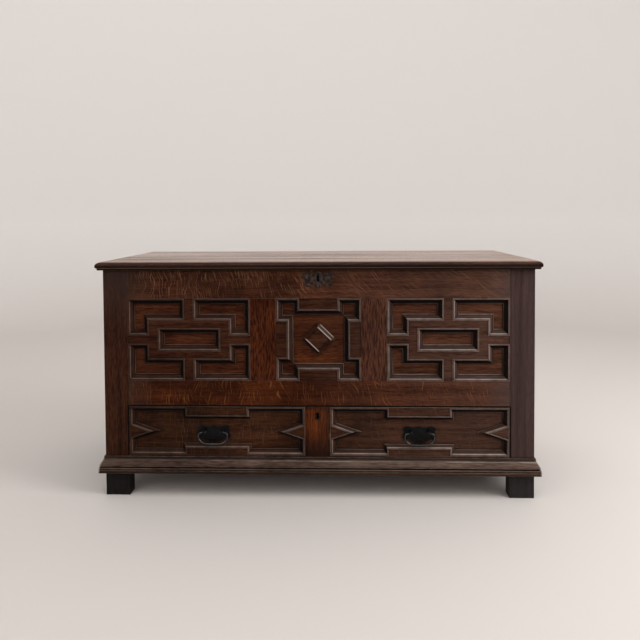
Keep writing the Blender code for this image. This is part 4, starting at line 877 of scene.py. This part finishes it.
def nail_heads(name, body, places, outward, material):
    """Hand-forged nails: low heads with five hammered facets that rise to a point, set along outward."""
    shape = bmesh.new()
    turn = Vector((0, 0, 1)).rotation_difference(Vector(outward)).to_matrix()
    for number, place in enumerate(places):
        rings = []
        for radius, rise in NAIL_RINGS:
            ring = []
            for corner in range(NAIL_SIDES):
                angle = 2 * math.pi * corner / NAIL_SIDES + number
                uneven = 1.0 + 0.10 * math.sin(3 * corner + 2 * number)
                reach = NAIL_RADIUS * radius * uneven
                point = Vector((reach * math.cos(angle), reach * math.sin(angle), NAIL_RISE * rise))
                ring.append(shape.verts.new(turn @ point + Vector(place)))
            rings.append(ring)
        tip = shape.verts.new(turn @ Vector((0, 0, NAIL_RISE)) + Vector(place))
        for low, high in zip(rings, rings[1:]):
            for corner in range(NAIL_SIDES):
                after = (corner + 1) % NAIL_SIDES
                shape.faces.new((low[corner], low[after], high[after], high[corner]))
        for corner in range(NAIL_SIDES):
            shape.faces.new((rings[-1][corner], rings[-1][(corner + 1) % NAIL_SIDES], tip))
        shape.faces.new(list(reversed(rings[0])))
    mesh = bpy.data.meshes.new(name)
    shape.to_mesh(mesh)
    shape.free()
    mesh.materials.append(material)
    piece = bpy.data.objects.new(name, mesh)
    bpy.context.scene.collection.objects.link(piece)
    bevel = piece.modifiers.new("worn_edges", "BEVEL")
    bevel.width = NAIL_RISE / 6
    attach(piece, body)


def make_nails():
    """Nails that hold the lock plate, the hinge straps under the lid and the hinge leaves on the back."""
    pale = iron("nail_iron", (0.050, 0.038, 0.032), (0.095, 0.075, 0.064), bright=0.5, metal=0.5)
    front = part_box("lock_escutcheon")[0][1]
    places = [(CENTRE_X + x, front, z) for x, z in LOCK_NAILS]
    nail_heads("lock_plate_nails", ROOT_BODY, places, (0, -1, 0), pale)
    black = iron("hinge_nail_iron")
    for side in ("left", "right"):
        low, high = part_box(f"{side}_hinge_strap")
        middle = (low[0] + high[0]) / 2
        places = [(middle, low[1] + along, high[2] - STRAP_THICKNESS) for along in STRAP_NAILS]
        nail_heads(f"{side}_strap_nails", "lid_assembly", places, (0, 0, -1), black)
        low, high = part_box(f"{side}_hinge_leaf")
        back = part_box("back_top_rail")[1][1] + LEAF_FACE
        places = [(middle + across, back, low[2] + rise) for across, rise in LEAF_NAILS]
        nail_heads(f"{side}_leaf_nails", ROOT_BODY, places, (0, 1, 0), black)


def add_lamp(name, place, aim, size, power):
    """A soft rectangular light."""
    lamp = bpy.data.lights.new(name, "AREA")
    lamp.shape = "RECTANGLE"
    lamp.size, lamp.size_y = size
    lamp.energy = power
    holder = bpy.data.objects.new(name, lamp)
    holder.location = place
    holder.rotation_euler = (Vector(aim) - Vector(place)).to_track_quat("-Z", "Y").to_euler()
    bpy.context.scene.collection.objects.link(holder)


def make_studio():
    """A pale floor that curves up all round, a soft key light from the right and an even fill."""
    outline = [(0.0, 0.0), (FLOOR_RADIUS, 0.0)]
    for step in range(1, COVE_STEPS + 1):
        turn = math.pi / 2 * step / COVE_STEPS
        outline.append((FLOOR_RADIUS + COVE_RADIUS * math.sin(turn), COVE_RADIUS * (1 - math.cos(turn))))
    outline.append((FLOOR_RADIUS + COVE_RADIUS, WALL_HEIGHT))
    shape = bmesh.new()
    line = [shape.verts.new((x, 0, z)) for x, z in outline]
    edges = [shape.edges.new(pair) for pair in zip(line, line[1:])]
    bmesh.ops.spin(
        shape, geom=line + edges, axis=(0, 0, 1), cent=(0, 0, 0),
        angle=2 * math.pi, steps=TURN_STEPS, use_merge=True,
    )
    bmesh.ops.remove_doubles(shape, verts=shape.verts, dist=0.0001)
    for face in shape.faces:
        face.smooth = True
    mesh = bpy.data.meshes.new("studio_floor")
    shape.to_mesh(mesh)
    shape.free()
    floor = bpy.data.objects.new("studio_floor", mesh)
    bpy.context.scene.collection.objects.link(floor)
    graph = Graph("studio_floor")
    place = graph.add("ShaderNodeTexCoord").outputs["Object"]
    height = graph.ramp(graph.split(place)[2], 0.0, WALL_FULL)
    graph.plug(graph.shader.inputs["Base Color"], graph.mix(height, FLOOR_COLOUR, WALL_COLOUR))
    graph.shader.inputs["Roughness"].default_value = 0.95
    graph.shader.inputs["Specular IOR Level"].default_value = 0.1
    mesh.materials.append(graph.material)

    world = bpy.data.worlds.new("studio")
    world.use_nodes = True
    fill = world.node_tree.nodes["Background"]
    fill.inputs["Color"].default_value = (*FILL_COLOUR, 1.0)
    fill.inputs["Strength"].default_value = FILL_STRENGTH
    bpy.context.scene.world = world

    add_lamp("key", KEY_PLACE, KEY_AIM, KEY_SIZE, KEY_POWER)
    add_lamp("side", SIDE_PLACE, SIDE_AIM, SIDE_SIZE, SIDE_POWER)


def make_camera():
    data = bpy.data.cameras.new("camera")
    data.sensor_width = SENSOR
    data.lens = CAMERA_LENS
    data.shift_y = CAMERA_SHIFT
    camera = bpy.data.objects.new("camera", data)
    turn = (
        Matrix.Rotation(math.radians(CAMERA_YAW), 4, "Z")
        @ Matrix.Rotation(math.radians(90 - CAMERA_PITCH), 4, "X")
        @ Matrix.Rotation(math.radians(CAMERA_ROLL), 4, "Z")
    )
    camera.matrix_world = Matrix.Translation(CAMERA_PLACE) @ turn
    bpy.context.scene.collection.objects.link(camera)
    bpy.context.scene.camera = camera


dress_posts()
dress_front()
dress_mouldings()
dress_ends_and_base()
dress_lid()
dress_dry_wood()
dress_iron()
make_nails()
make_studio()
make_camera()
bpy.context.scene.view_settings.view_transform = "Standard"
